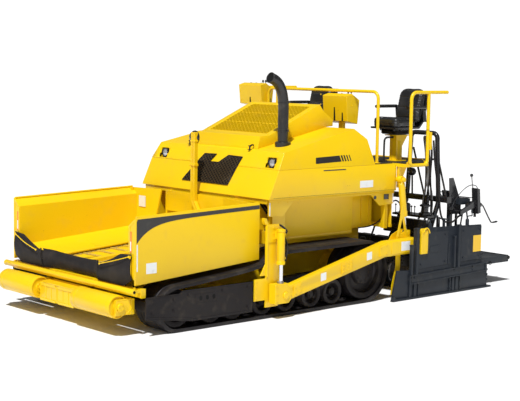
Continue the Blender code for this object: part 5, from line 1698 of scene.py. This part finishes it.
def piping(shape, centre, normal, start, radius=0.0055, steps=72):
    """A corded seam round a pad, laid on its surface in one plane."""
    surface = BVHTree.FromBMesh(shape)
    centre, normal = Vector(centre), Vector(normal).normalized()
    first = (Vector(start) - normal * Vector(start).dot(normal)).normalized()
    second = normal.cross(first)
    line = []
    for k in range(steps + 1):
        way = first * cos(2 * pi * k / steps) + second * sin(2 * pi * k / steps)
        hit = surface.ray_cast(centre + way * 0.8, -way)[0]
        line.append(hit if hit else centre + way * 0.25)
    add_pipe(shape, line, radius, 8)


def round_corners(half_long, half_wide, radius, steps=6):
    """Outline of a rectangle with round corners, about the middle."""
    outline = []
    for a, b, start in ((1, 1, 0), (-1, 1, 90), (-1, -1, 180), (1, -1, 270)):
        outline += arc_points((a * (half_long - radius), b * (half_wide - radius)), radius, start, start + 90,
                              steps)
    return outline


shape = bmesh.new()
add_plate(shape, [(x + 0.038, y) for x, y in round_corners(0.232, 0.246, 0.085)], 2.318, 2.408, "Z")
for vertex in shape.verts:
    if vertex.co.z > 2.39:
        vertex.co.z += 0.02 * max(0, vertex.co.x) / 0.24
cushion = puffed(shape, 0.0085, 0.026)
channels(cushion, (-0.06, 0.05, 0.15), 0, (0, 0, 1), 0.01, 0.006)
channels(cushion, (-0.165, 0.165), 1, (0, 0, 1), 0.01, 0.008)
piping(cushion, (0.038, 0, 2.375), (0, 0, 1), (1, 0, 0))
shape = bmesh.new()
outline = [(y * (1.0 - 0.1 * max(0, z)), z + 2.59) for y, z in round_corners(0.236, 0.262, 0.125)]
for vertex in add_plate(shape, outline, -0.05, 0.036, "X"):
    vertex.co.x += -0.275 - (vertex.co.z - 2.59) * 0.235
backrest = puffed(shape, 0.0085, 0.024)
channels(backrest, (2.44, 2.58, 2.72), 2, (0.98, 0, 0.19), 0.01, 0.006)
piping(backrest, (-0.28, 0, 2.59), (0.973, 0, 0.229), (0, 1, 0))
seat_places = {"left": Vector((-1.5, 1.0, 0)), "right": Vector((-1.5, -0.8, 0))}


def make_seat_shell(shape):
    """Hard shell under and behind the pads, the slide and the armrest brackets."""
    add_plate(shape, [(-0.215, 2.286), (0.27, 2.286), (0.275, 2.312), (-0.2, 2.316), (-0.282, 2.39),
                      (-0.345, 2.56), (-0.408, 2.8), (-0.418, 2.8), (-0.356, 2.55), (-0.296, 2.37)], -0.235,
              0.235)
    for y in (-0.13, 0.115):
        add_box(shape, (-0.19, y, 2.262), (0.2, y + 0.015, 2.287))
    for side in (-1, 1):
        y = side * 0.2555
        low, high = sorted((y - 0.012 * side, y + 0.004 * side))
        add_plate(shape, [(-0.335, 2.38), (-0.27, 2.38), (-0.25, 2.575), (-0.31, 2.575)], low, high)
        add_boss(shape, 0.028, 0.008, 0.018, 0.014, (-0.285, y, 2.545), (0, side, 0), 20)
    add_turned(shape, [(0, 0), (0.012, 0), (0.016, 0.02), (0.012, 0.032), (0, 0.034)], (0.1, 0.15, 2.275),
               "Y", 16)


def make_seat_base(shape):
    """Ribbed boot round the suspension, and the turning plate."""
    for k in range(5):
        z = 2.224 + 0.008 * k
        grow = 0.01 if k % 2 else 0.0
        add_box(shape, (-0.165 + grow, -0.145 + grow, z - 0.0035), (0.165 - grow, 0.145 - grow, z + 0.0035))
    add_box(shape, (-0.15, -0.13, 2.2105), (0.15, 0.13, 2.263))


def make_armrests(shape):
    for side in (-1, 1):
        y = side * 0.29
        line = [(-0.305, y, 2.585), (-0.2, y, 2.586), (-0.05, y, 2.586), (0.06, y, 2.585), (0.1, y, 2.58)]
        for vertex in add_hose(shape, line, 6, 0.033, 18):
            vertex.co.z = 2.585 + (vertex.co.z - 2.585) * 0.72


for side_name, place in seat_places.items():
    body = "seat_" + side_name
    for name, form, stands_for in (("seat_cushion", cushion, body), ("seat_back", backrest, None)):
        shape = form.copy()
        bmesh.ops.translate(shape, vec=place, verts=shape.verts)
        pad = as_piece(name + "_" + side_name, shape, vinyl, 0, stands_for, body)
    for name, make, look, edge in (("seat_shell", make_seat_shell, gloss_black, 0.003),
                                   ("seat_boot", make_seat_base, apron_rubber, 0.002),
                                   ("seat_armrests", make_armrests, vinyl, 0)):
        shape = bmesh.new()
        make(shape)
        bmesh.ops.translate(shape, vec=place, verts=shape.verts)
        as_piece(name + "_" + side_name, shape, look, edge, body=body)
cushion.free()
backrest.free()
shape = bmesh.new()
for place in seat_places.values():
    x, y = place.x, place.y
    add_box(shape, (x - 0.062, y - 0.062, 1.8385), (x + 0.062, y + 0.062, 2.19))
    add_box(shape, (x - 0.105, y - 0.105, 1.8385), (x + 0.105, y + 0.105, 1.85))
    add_box(shape, (x - 0.17, y - 0.11, 2.188), (x + 0.12, y + 0.11, 2.202))
    for edge_y in (y - 0.06, y + 0.05):
        add_plate(shape, [(x - 0.061, 2.189), (x - 0.168, 2.189), (x - 0.061, 2.04)], edge_y, edge_y + 0.01)
as_piece("seat_pedestals", shape, yellow, 0.003)
shape = bmesh.new()
for place in seat_places.values():
    add_hose(shape, [(place.x + 0.06, place.y, 2.165), (place.x + 0.18, place.y, 2.166),
                     (place.x + 0.225, place.y, 2.145), (place.x + 0.238, place.y, 2.09),
                     (place.x + 0.24, place.y, 1.845)], 6, 0.014, 12)
    add_box(shape, (place.x + 0.2, place.y - 0.03, 1.8385), (place.x + 0.28, place.y + 0.03, 1.85))
as_piece("pedestal_stays", shape, black_edge, 0.001)


# ================ lift cylinders
# Double-acting cylinders from the deck's ears to the tow arms: painted barrel
# with a screwed gland and hose ports, plated rod with a forged eye.
lift_top, lift_eye = Vector((-1.185, 1.4, 1.617)), Vector((-1.29, 1.4, 0.89))
lift_way = (lift_eye - lift_top).normalized()
lift_long = (lift_eye - lift_top).length


@both_sides("lift_barrel_tube", yellow, 0.001, "lift_barrel", body="lift_barrel")
def lift_barrel_tube(shape):
    add_turned(shape, [(0.0225, -0.03), (0.05, -0.03), (0.05, 0.03), (0.0225, 0.03)], tuple(lift_top), "Y",
               32)
    start, end = 0.058 * lift_long, 0.7 * lift_long
    add_turned(shape, [(0.0256, start), (0.036, start), (0.046, start + 0.012), (0.046, end - 0.06),
                       (0.05, end - 0.055), (0.05, end - 0.01), (0.044, end - 0.002), (0.0256, end)],
               tuple(lift_top), tuple(lift_way), 32)
    for share in (0.17, 0.62):
        at = lift_top + lift_way * lift_long * share
        add_turned(shape, [(0, 0.04), (0.016, 0.04), (0.016, 0.062), (0.01, 0.068), (0, 0.068)], tuple(at),
                   (-1, 0, 0.1), 16)


@both_sides("lift_rod_bar", chrome, 0, "lift_rod", body="lift_rod")
def lift_rod_bar(shape):
    add_drum(shape, 0.0248, 0.45 * lift_long, 0.955 * lift_long, tuple(lift_top), tuple(lift_way), 28)


@both_sides("lift_rod_eye", steel, 0, body="lift_rod")
def lift_rod_eye(shape):
    add_turned(shape, [(0.0222, -0.025), (0.034, -0.025), (0.038, -0.02), (0.038, 0.02), (0.034, 0.025),
                       (0.0222, 0.025)], tuple(lift_eye), "Y", 30)
    add_turned(shape, [(0.0249, 0.948 * lift_long), (0.031, 0.951 * lift_long), (0.031, 0.956 * lift_long),
                       (0.0249, 0.958 * lift_long)], tuple(lift_top), tuple(lift_way), 28)


# ================ augers
# Two spreading screws of cast flighting on a tube, bright where the asphalt rubs,
# turning on pins of the chain case, which hangs with its beam behind the frame.
rounded_node("auger_carrier", charcoal, 0.006)
auger_bright = paint("auger_steel", (0.2, 0.19, 0.18), (0.13, 0.12, 0.11), (0.05, 0.04, 0.035), 0.36,
                     chips=0.58)
auger_bright.node_tree.nodes["Principled BSDF"].inputs["Metallic"].default_value = 0.7


@both_sides("auger_screw", auger_bright, 0, "auger", body="auger")
def auger_screw(shape):
    x, z, start, end = -1.38, 0.36, 0.1, 1.44
    add_turned(shape, [(0.0226, start), (0.045, start), (0.045, end - 0.006), (0.039, end), (0, end),
                       (0, start + 0.105), (0.0226, start + 0.1)], (x, 0, z), "Y", 32)
    count = 147
    rows = []
    for i in range(count + 1):
        angle = 2 * pi * 3.5 * i / count
        y = start + 0.05 + (end - start - 0.1) * i / count
        wave = 0.0015 * sin(angle * 4)
        ring = []
        for radius, shift in ((0.04, -0.012), (0.12, -0.009), (0.184 + wave, -0.007), (0.1895, 0),
                              (0.184 + wave, 0.007), (0.12, 0.009), (0.04, 0.012)):
            ring.append(shape.verts.new((x + radius * cos(angle), y + shift, z + radius * sin(angle))))
        rows.append(ring)
    for one, two in zip(rows, rows[1:]):
        for k in range(7):
            shape.faces.new((one[k], one[(k + 1) % 7], two[(k + 1) % 7], two[k]))
    shape.faces.new(rows[0][::-1])
    shape.faces.new(rows[-1])
    for y in (0.62, 1.08):
        add_turned(shape, [(0.044, -0.03), (0.055, -0.03), (0.055, 0.03), (0.044, 0.03)], (x, y, z), "Y", 28)


@both_sides("carrier_trim", charcoal, 0.002)
def carrier_trim(shape):
    """Flanges of the chain case, hangers of the beam and its end plates."""
    add_drum(shape, 0.115, 0, 0.01, (-1.38, 0.0905, 0.36), "Y", 34)
    add_box(shape, (-1.445, 1.388, 0.585), (-1.315, 1.404, 0.685))
    for y in (0.5, 0.95):
        add_plate(shape, [(-1.32, 0.6), (-1.101, 0.6), (-1.101, 0.69), (-1.2, 0.69), (-1.32, 0.65)], y,
                  y + 0.012)
    add_pipe(shape, [(-1.31, 0.2, 0.69), (-1.31, 1.3, 0.69)], 0.016, 10)


both_screws("carrier_screws", [(-1.38 + 0.095 * cos(a), 0.1005, 0.36 + 0.095 * sin(a))
                               for a in (k * pi / 4 for k in range(8))], (0, 1, 0), charcoal, 0.007, 0.006)


# ================ screed
# Slate-painted box with a wearing sole, burner heating along its length, end
# plates and a guide tube on which the rear extensions slide out.
rounded_node("main_screed", slate, 0.005)
shape = bmesh.new()
for k in range(6):
    y = -1.36 + 0.475 * k
    add_box(shape, (-2.16, y, 0.4503), (-1.75, y + 0.4, 0.46))
    add_pipe(shape, [(-1.99, y + 0.12, 0.466), (-1.99, y + 0.28, 0.466)], 0.008, 8)
for y in (-0.95, 0.0, 0.95):
    add_box(shape, (-2.06, y - 0.14, 0.4605), (-1.8, y + 0.14, 0.56))
    add_boss(shape, 0.05, 0.05, 0.03, 0.07, (-1.93, y, 0.56), "Z", 24)
add_pipe(shape, [(-1.725, -1.46, 0.475), (-1.725, 1.46, 0.475)], 0.021, 12)
for y in (-1.2, -0.6, 0.0, 0.6, 1.2):
    add_box(shape, (-1.745, y - 0.012, 0.451), (-1.705, y + 0.012, 0.499))
as_piece("screed_covers", shape, slate, 0.004, body="screed")
screws("screed_cover_screws", [(x, -1.33 + 0.475 * k + s, 0.461) for k in range(6) for s in (0.0, 0.34)
                               for x in (-1.78, -2.13)], (0, 0, 1), slate, 0.008, 0.006, body="screed")
shape = bmesh.new()
add_box(shape, (-2.215, -1.474, 0.001), (-1.752, 1.474, 0.012))
as_piece("screed_sole", shape, steel, 0.003, body="screed")


@both_sides("main_screed_ends", slate, 0.002, body="screed")
def main_screed_ends(shape):
    """Gussets, lifting eye and depth screw on the centre screed's end plate."""
    add_box(shape, (-1.99, 1.36, 0.46), (-1.93, 1.44, 0.8))
    add_turned(shape, [(0.018, 0), (0.034, 0), (0.034, 0.02), (0.018, 0.02)], (-1.96, 1.39, 0.83), "Y", 24)
    add_pipe(shape, [(-2.1, 1.4, 0.64), (-2.1, 1.4, 1.02)], 0.02, 14)
    add_boss(shape, 0.032, 0.16, 0.02, 0.17, (-2.1, 1.4, 0.74), "Z", 22)
    add_pipe(shape, [(-2.1, 1.33, 1.02), (-2.1, 1.47, 1.02)], 0.011, 10)
    for x in (-1.8, -2.18):
        add_plate(shape, [(1.44, 0.06), (1.44, 0.4), (1.36, 0.4)], x - 0.006, x + 0.006, "X")


rounded_pair("screed_extension", slate, 0.005)


@both_sides("extension_trim", slate, 0.002, body="extension")
def extension_trim(shape):
    """Ribs, covers, vibrator housing, desk brackets and the crown screw of one extension."""
    for y in (0.3, 0.72, 1.12, 1.5):
        add_plate(shape, [(-2.74, 0.05), (-2.74, 0.4), (-2.66, 0.4), (-2.66, 0.05)], y - 0.006, y + 0.006)
    for y in (0.1, 0.55, 1.08):
        add_box(shape, (-2.64, y, 0.4503), (-2.34, y + 0.34, 0.46))
    add_box(shape, (-2.6, 0.58, 0.4605), (-2.38, 0.86, 0.565))
    add_boss(shape, 0.045, 0.05, 0.02, 0.075, (-2.49, 0.72, 0.565), "Z", 24)
    add_plate(shape, [(-2.69, 0.45), (-2.55, 0.45), (-2.69, 0.7)], 0.955, 0.965)
    add_plate(shape, [(-2.76, 1.18), (-2.64, 1.18), (-2.69, 1.02)], 0.995, 1.005)
    add_box(shape, (-2.753, 0.05, 0.1), (-2.748, 1.55, 0.4))
    for y in (0.18, 0.62, 1.05, 1.42):
        add_box(shape, (-2.76, y, 0.14), (-2.752, y + 0.08, 0.36))
    # walkway: kick plate, round end cap, hinge knuckles and brackets below
    add_box(shape, (-3.49, 1.476, 0.3), (-2.8, 1.486, 0.396))
    add_box(shape, (-3.498, 0.04, 0.3), (-3.488, 1.47, 0.396))
    add_box(shape, (-3.49, 0.033, 0.3), (-2.8, 0.043, 0.375))
    add_pipe(shape, [(-3.495, 0.035, 0.36), (-3.495, 1.475, 0.36)], 0.018, 14)
    for y in (0.12, 0.75, 1.38):
        add_drum(shape, 0.017, -0.045, 0.045, (-2.79, y, 0.388), "Y", 18)
        add_plate(shape, [(-2.76, 0.12), (-2.76, 0.34), (-3.2, 0.34)], y - 0.006, y + 0.006)


@both_sides("walkway_tread", slate_tread, 0, body="extension")
def walkway_tread(shape):
    add_box(shape, (-3.485, 0.045, 0.3803), (-2.8, 1.47, 0.3845))


@both_sides("walkway_grip", shade_and_rubber_black, 0, body="extension")
def walkway_grip(shape):
    add_boss(shape, 0.026, 0.014, 0.016, 0.022, (-3.495, 1.476, 0.36), "Y", 24)
    ring = [(-3.06 + 0.026 * cos(a), 1.49, 0.312 + 0.026 * sin(a)) for a in (2 * pi * k / 20
            for k in range(21))]
    add_pipe(shape, ring, 0.0045, 8)
    for k in range(3):
        add_pipe(shape, [(-2.87, 0.4 + 0.45 * k, 0.33), (-2.87, 0.4 + 0.45 * k, 0.25)], 0.009, 8)


@both_sides("extension_sole", steel, 0.003, body="extension")
def extension_sole(shape):
    add_box(shape, (-2.748, 0.012, 0.001), (-2.305, 1.574, 0.012))


# ================ end gates
# Plate that closes the end of the mat, sprung on posts and a long bolted rail,
# with a shoe below, a tool box and a blank yellow sign.
rounded_pair("end_gate", slate, 0.003)


@both_sides("gate_frame", slate, 0.002, body="extension")
def gate_frame(shape):
    face = 1.6005
    rail = [(-1.155, 0.204), (-1.155, 0.33), (-2.8, 0.372), (-2.8, 0.25)]
    add_plate(shape, rail, face + 0.01, face + 0.018)
    add_plate(shape, [(-1.155, 0.318), (-1.155, 0.33), (-2.8, 0.372), (-2.8, 0.36)], face, face + 0.034)
    add_plate(shape, [(-1.155, 0.204), (-1.155, 0.216), (-2.8, 0.262), (-2.8, 0.25)], face, face + 0.034)
    for x in (-1.17, -2.785):
        z = 0.204 + (-1.155 - x) * 0.028
        add_box(shape, (x - 0.01, face, z), (x + 0.01, face + 0.03, z + 0.12))
    for x, wide, low, high in ((-1.19, 0.04, 0.335, 0.745), (-1.288, 0.046, 0.335, 0.968),
                               (-2.085, 0.036, 0.36, 0.8), (-2.165, 0.046, 0.36, 0.955)):
        add_box(shape, (x - wide / 2, face, low), (x + wide / 2, face + wide, high))
        add_box(shape, (x - wide / 2 - 0.006, face, high - 0.012), (x + wide / 2 + 0.006, face + wide + 0.004,
                high + 0.004))
        add_box(shape, (x - wide / 2 - 0.004, face, 0.03), (x + wide / 2 + 0.004, face + 0.016, 0.215))
    for x in (-1.36, -2.02, -2.24):
        add_box(shape, (x - 0.012, face, 0.03), (x + 0.012, face + 0.014, 0.215))
    add_plate(shape, [(-1.335, 0.4), (-1.335, 0.9), (-1.96, 0.885), (-1.96, 0.42)], face, face + 0.006)
    add_plate(shape, [(-2.235, 0.43), (-2.235, 0.915), (-2.685, 0.905), (-2.685, 0.43)], face, face + 0.008)
    add_plate(shape, [(-1.56, 0.63), (-1.6, 0.7), (-1.78, 0.7), (-1.82, 0.63), (-1.78, 0.61), (-1.6, 0.61)],
              face + 0.005, face + 0.012)
    add_box(shape, (-1.99, face, 0.42), (-1.965, face + 0.012, 0.7))
    # shoe, turned up at the front, and its rear lip
    add_plate(shape, [(-0.84, 0.002), (-0.835, 0.06), (-0.86, 0.075), (-0.9, 0.03), (-2.92, 0.024),
                      (-2.92, 0.002)], face - 0.012, face + 0.026)
    for z in (0.1, 0.17, 0.24):
        add_box(shape, (-2.862, face - 0.024, z), (-2.848, face + 0.004, z + 0.03))


both_screws("gate_screws", [(x, 1.619, z) for x, z in ((-1.21, 0.245), (-1.21, 0.292), (-1.27, 0.292),
                                                       (-2.1, 0.32), (-2.5, 0.29), (-2.5, 0.336))]
            + [(x, 1.6075, z) for x in (-1.4, -1.9) for z in (0.46, 0.84)] + [(x, 1.6092, z) for x in (-2.29,
        -2.64) for z in (0.48, 0.86)] + [(x, 1.6152, z) for x in (-2.02, -2.24) for z in (0.07, 0.16)],
            (0, 1, 0), slate, 0.011, 0.009, body="extension")


@both_sides("gate_box", yellow, 0.004, body="extension")
def gate_box(shape):
    face = 1.601
    add_box(shape, (-1.5, face, 0.605), (-1.365, face + 0.036, 0.925))
    add_plate(shape, [(-1.365, 0.925), (-1.5, 0.925), (-1.47, 0.955), (-1.38, 0.955)], face, face + 0.028)
    add_box(shape, (-1.512, face, 0.64), (-1.498, face + 0.03, 0.9))


@both_sides("gate_lever", yellow, 0, body="extension")
def gate_lever(shape):
    face = 1.601
    add_hose(shape, [(-1.4, face + 0.04, 0.91), (-1.44, face + 0.043, 0.955), (-1.5, face + 0.036, 0.945),
                     (-1.535, face + 0.034, 0.885)], 6, 0.009, 10)
    add_drum(shape, 0.016, 0.034, 0.044, (-1.4, face, 0.905), "Y", 20)
    for z in (0.64, 0.88):
        add_drum(shape, 0.01, 0.035, 0.041, (-1.48, face, z), "Y", 14)


@both_sides("gate_blank_sign", film("sign_yellow", (0.86, 0.52, 0.01), (0.8, 0.5, 0.03)), 0, body="extension")
def gate_blank_sign(shape):
    add_box(shape, (-2.682, 1.6087, 0.54), (-2.506, 1.61, 0.775))


@both_sides("gate_cranks", slate, 0, body="extension")
def gate_cranks(shape):
    """Height screws of the gate: barrel, threaded rod and folding handle."""
    for x, top in ((-1.62, 1.02), (-2.42, 1.02)):
        add_boss(shape, 0.026, 0.17, 0.018, 0.185, (x, 1.56, top - 0.19), "Z", 22)
        add_pipe(shape, [(x, 1.56, 0.44), (x, 1.56, top + 0.03)], 0.011, 12)
        add_box(shape, (x - 0.03, 1.535, 0.84), (x + 0.03, 1.5745, 0.87))
        add_hose(shape, [(x, 1.56, top + 0.03), (x - 0.06, 1.56, top + 0.035), (x - 0.1, 1.56, top + 0.032),
                         (x - 0.1, 1.56, top + 0.07)], 4, 0.008, 8)
        add_turned(shape, [(0, 0), (0.013, 0.004), (0.015, 0.03), (0.01, 0.05), (0, 0.052)],
                   (x - 0.1, 1.56, top + 0.07), "Z", 16)


# ================ hose frame
# Portal of thick black tube over the screed with a cross beam, thin braces and a
# lamp ball, holding up the bundle of hoses that feeds the screed.
portal_x, portal_step = -2.32, -1.99
shape = bmesh.new()
line = [(portal_step, 0.45, 0.4603), (portal_step, 0.45, 0.58), (portal_x + 0.01, 0.497, 1.2),
        (portal_x, 0.508, 1.36), (portal_x, 0.55, 2.08)]
line += [(portal_x, 0.63 - 0.08 * cos(a), 2.12 + 0.08 * sin(a)) for a in (radians(t) for t in (10, 30, 50, 70,
        90))]
line += [(portal_x, 0.97 + 0.08 * sin(a), 2.12 + 0.08 * cos(a)) for a in (radians(t) for t in (0, 20, 40, 60,
        80))]
line += [(portal_x, 1.05, 2.08), (portal_x, 1.093, 1.36), (portal_x + 0.01, 1.102, 1.2),
         (portal_step, 1.15, 0.58), (portal_step, 1.15, 0.4603)]
add_pipe(shape, line, 0.0345, 22)
add_pipe(shape, [(portal_x, -1.1, 1.24), (portal_step, -1.15, 0.58), (portal_step, -1.15, 0.4603)], 0.0345,
         20)
for y in (0.45, 1.15, -1.15):
    add_boss(shape, 0.06, 0.012, 0.038, 0.02, (portal_step, y, 0.4603), "Z", 26)
add_box(shape, (portal_x - 0.04, -1.3, 1.225), (portal_x + 0.04, 1.3, 1.3))
for y in (-1.302, 1.292):
    add_box(shape, (portal_x - 0.048, y, 1.218), (portal_x + 0.048, y + 0.01, 1.308))
for one, two in (((portal_x, 0.6, 1.98), (portal_x, 0.83, 1.3)), ((portal_x, 1.03, 1.98),
        (portal_x, 1.245, 1.3)), ((portal_x, 0.56, 1.8), (portal_x, 1.06, 1.83)), ((portal_x, -0.55, 1.3),
        (portal_step, -0.6, 0.5)), ((portal_x, 0.1, 1.3), (portal_step, 0.05, 0.5))):
    add_pipe(shape, [one, two], 0.0145, 12)
as_piece("portal_frame", shape, gloss_black, 0.002, "hose_frame", body="screed")
shape = bmesh.new()
ball = Vector((-2.32, 0.59, 1.62))
add_pipe(shape, [(-2.32, 0.6, 1.3), (-2.32, 0.597, 1.4), (-2.32, 0.59, 1.58)], 0.0135, 12)
add_turned(shape, [(0, -0.058)] + [(0.058 * sin(a), -0.058 * cos(a)) for a in (pi * k / 14 for k in range(1,
        14))] + [(0, 0.058)], tuple(ball), "Z", 30)
add_pipe(shape, [(-1.642, 1.2, 0.47), (-1.74, 1.2, 0.462)], 0.018, 12)
# deck of boxes, valves and reels between the portal and the end plates
add_box(shape, (-1.78, 0.6, 0.8), (-1.72, 1.4, 1.02))
add_box(shape, (-1.8, 0.95, 0.46), (-1.72, 1.02, 0.82))
add_box(shape, (-2.03, 0.7, 1.04), (-1.79, 1.36, 1.07))
add_box(shape, (-2.02, 1.36, 0.62), (-1.98, 1.4, 1.05))
add_turned(shape, [(0, 0), (0.085, 0), (0.085, 0.03), (0.05, 0.04), (0.05, 0.11), (0.075, 0.12),
                   (0.075, 0.14), (0.03, 0.16), (0, 0.16)], (-1.92, 1.2, 1.07), "Z", 28)
add_boss(shape, 0.06, 0.12, 0.04, 0.14, (-1.91, 0.86, 1.07), "Z", 24)
for y in (0.72, 0.8, 1.02, 1.08):
    add_pipe(shape, [(-1.84, y, 1.07), (-1.84, y, 1.17)], 0.007, 8)
    add_turned(shape, [(0, 0), (0.013, 0.006), (0.015, 0.018), (0, 0.03)], (-1.84, y, 1.165), "Z", 14)
as_piece("screed_fittings", shape, gloss_black, 0.002, body="screed")

# hoses: each runs from the tractor end of the portal's top down to the screed
hose_rows = []
for k in range(7):
    spread = (k - 3) * 0.02
    sway = 0.05 * sin(k * 2.1)
    hose_rows.append([(portal_x + 0.055, 0.92 + spread, 2.15), (portal_x + 0.105, 0.95 + spread, 2.12),
                      (portal_x + 0.11 + sway * 0.3, 0.99 + spread, 1.92),
                      (portal_x + 0.12, 1.0 + spread * 0.7 + sway * 0.3, 1.6), (portal_x + 0.15 + sway,
            1.03 + spread, 1.3), (portal_x + 0.2 + sway, 1.04 + spread * 1.4, 1.06 - 0.02 * k),
                      (portal_x + 0.31 + sway, 0.98 + spread * 1.6, 0.84 - 0.014 * k),
                      (portal_x + 0.42, 0.86 + spread * 1.8, 0.7 - 0.01 * k),
                      (portal_x + 0.43, 0.74 + spread * 2, 0.585)])
grey_hose = rubber("grey_hose", (0.2, 0.2, 0.21), (0.3, 0.29, 0.28), 0.5)
for name, look, rows in (("black_hoses", apron_rubber, hose_rows[::2]), ("grey_hoses", grey_hose,
        hose_rows[1::2])):
    shape = bmesh.new()
    for row in rows:
        add_hose(shape, row, 7, 0.0125, 10)
    as_piece(name, shape, look, 0, body="screed")
shape = bmesh.new()
add_hose(shape, [(portal_x + 0.06, 1.03, 2.1), (portal_x + 0.09, 1.1, 1.75), (portal_x + 0.04, 1.14, 1.35),
                 (portal_x + 0.03, 1.17, 1.08), (portal_x + 0.0, 1.22, 0.955), (portal_x - 0.1, 1.29, 0.945),
                 (portal_x - 0.18, 1.33, 1.02), (portal_x - 0.26, 1.33, 1.035)], 8, 0.014, 12)
for row in ([(-1.76, 0.7, 1.02), (-1.78, 0.66, 1.16), (-1.95, 0.62, 1.22), (-2.1, 0.6, 1.1),
             (-2.12, 0.6, 0.8), (-2.02, 0.6, 0.57)], [(-1.76, 1.3, 1.0), (-1.7, 1.34, 0.85),
                                                      (-1.68, 1.32, 0.62), (-1.76, 1.28, 0.47)],
            [(-1.92, 1.2, 1.22), (-2.0, 1.16, 1.3), (-2.16, 1.12, 1.24), (-2.22, 1.04, 1.02),
             (-2.14, 0.96, 0.8), (-2.02, 0.96, 0.58)]):
    add_hose(shape, row, 7, 0.0115, 10)
as_piece("looped_hoses", shape, apron_rubber, 0, body="screed")


# ================ screed controls
# Fittings of each extension: a swinging arm with a control box and its cable, a
# triangular bracket, a ball-ended lever and the cranked handle at the rear.
@both_sides("extension_controls", gloss_black, 0.003, body="extension")
def extension_controls(shape):
    add_plate(shape, [(-2.425, 1.565), (-2.52, 1.567), (-2.7, 1.2), (-2.7, 1.05), (-2.46, 1.05)], 1.196,
              1.206)
    add_box(shape, (-2.74, 1.18, 1.045), (-2.45, 1.24, 1.1))
    # arm and hinged panel
    arm = [(-2.46, 1.045), (-2.46, 1.105), (-2.8, 1.245), (-2.8, 1.145)]
    add_plate(shape, arm, 1.372, 1.402)
    add_box(shape, (-2.5, 1.2, 1.06), (-2.46, 1.4, 1.1))
    add_plate(shape, [(-2.775, 1.42), (-2.835, 1.405), (-2.868, 1.06), (-2.805, 1.045)], 1.33, 1.44)
    add_box(shape, (-2.83, 1.28, 1.1), (-2.7, 1.345, 1.22))
    add_boss(shape, 0.034, 0.05, 0.022, 0.07, (-2.86, 1.39, 1.17), (-1, 0, 0), 24)
    add_drum(shape, 0.02, 0, 0.05, (-2.83, 1.36, 1.045), (0, 0, -1), 18)
    # legs that carry the arm
    add_pipe(shape, [(-2.58, 1.22, 0.458), (-2.58, 1.22, 1.06)], 0.02, 14)
    add_pipe(shape, [(-2.7, 1.4, 0.458), (-2.66, 1.4, 0.8), (-2.6, 1.39, 1.12)], 0.012, 10)
    add_pipe(shape, [(-2.36, 1.4, 0.458), (-2.44, 1.4, 0.8), (-2.52, 1.39, 1.09)], 0.012, 10)


@both_sides("extension_crank", gloss_black, 0, body="extension")
def extension_crank(shape):
    add_hose(shape, [(-2.925, 1.39, 1.185), (-2.98, 1.395, 1.135), (-3.06, 1.4, 1.02), (-3.135, 1.4, 0.925),
                     (-3.165, 1.4, 0.898), (-3.2, 1.4, 0.892)], 5, 0.0105, 12)
    add_turned(shape, [(0, 0), (0.012, 0.004), (0.0145, 0.04), (0.0145, 0.09), (0.01, 0.108), (0, 0.11)],
               (-3.195, 1.4, 0.892), (-1, 0, 0.06), 18)
    add_hose(shape, [(-2.44, 1.22, 1.06), (-2.5, 1.24, 1.22), (-2.62, 1.29, 1.38), (-2.74, 1.33, 1.455),
                     (-2.83, 1.37, 1.445), (-2.845, 1.39, 1.38)], 7, 0.006, 8)


def make_ball_lever(shape):
    add_pipe(shape, [(-2.8, 1.345, 1.26), (-2.795, 1.34, 1.4), (-2.765, 1.335, 1.585)], 0.0085, 12)


def make_ball(shape):
    add_turned(shape, [(0, -0.024)] + [(0.024 * sin(a), -0.024 * cos(a))
                                       for a in (pi * k / 10 for k in range(1, 10))] + [(0, 0.024)],
               (-2.762, 1.335, 1.6), "Z", 22)


both_sides("ball_lever", steel, 0, body="extension")(make_ball_lever)
both_sides("lever_ball", gloss_black, 0, body="extension")(make_ball)


@both_sides("desk_panel", gloss_black, 0.0015, body="extension")
def desk_panel(shape):
    """Black desk on the extension: its plate, a grip and a raised screen."""
    add_box(shape, (-2.885, 0.83, 1.2605), (-2.635, 1.27, 1.268))
    add_hose(shape, [(-2.8, 0.815, 1.262), (-2.8, 0.79, 1.31), (-2.72, 0.79, 1.31), (-2.72, 0.815, 1.262)], 5,
             0.008, 10)
    add_plate(shape, [(-2.66, 1.268), (-2.64, 1.268), (-2.625, 1.36), (-2.645, 1.36)], 0.9, 1.1)


for side_name, side in (("left", 1), ("right", -1)):
    grown("desk_keys_" + side_name, BLOCKS, [(Vector((-2.7 - 0.035 * r, side * (0.86 + 0.045 * k), 1.271)),
                                              Vector((1, 0, 0)), Vector((0, 1, 0))) for k in range(9)
                                             for r in range(4) if (k * 3 + r) % 5],
          {"Block size": (0.02, 0.026, 0.007)}, key_grey, 0.0012, body="extension_" + side_name)
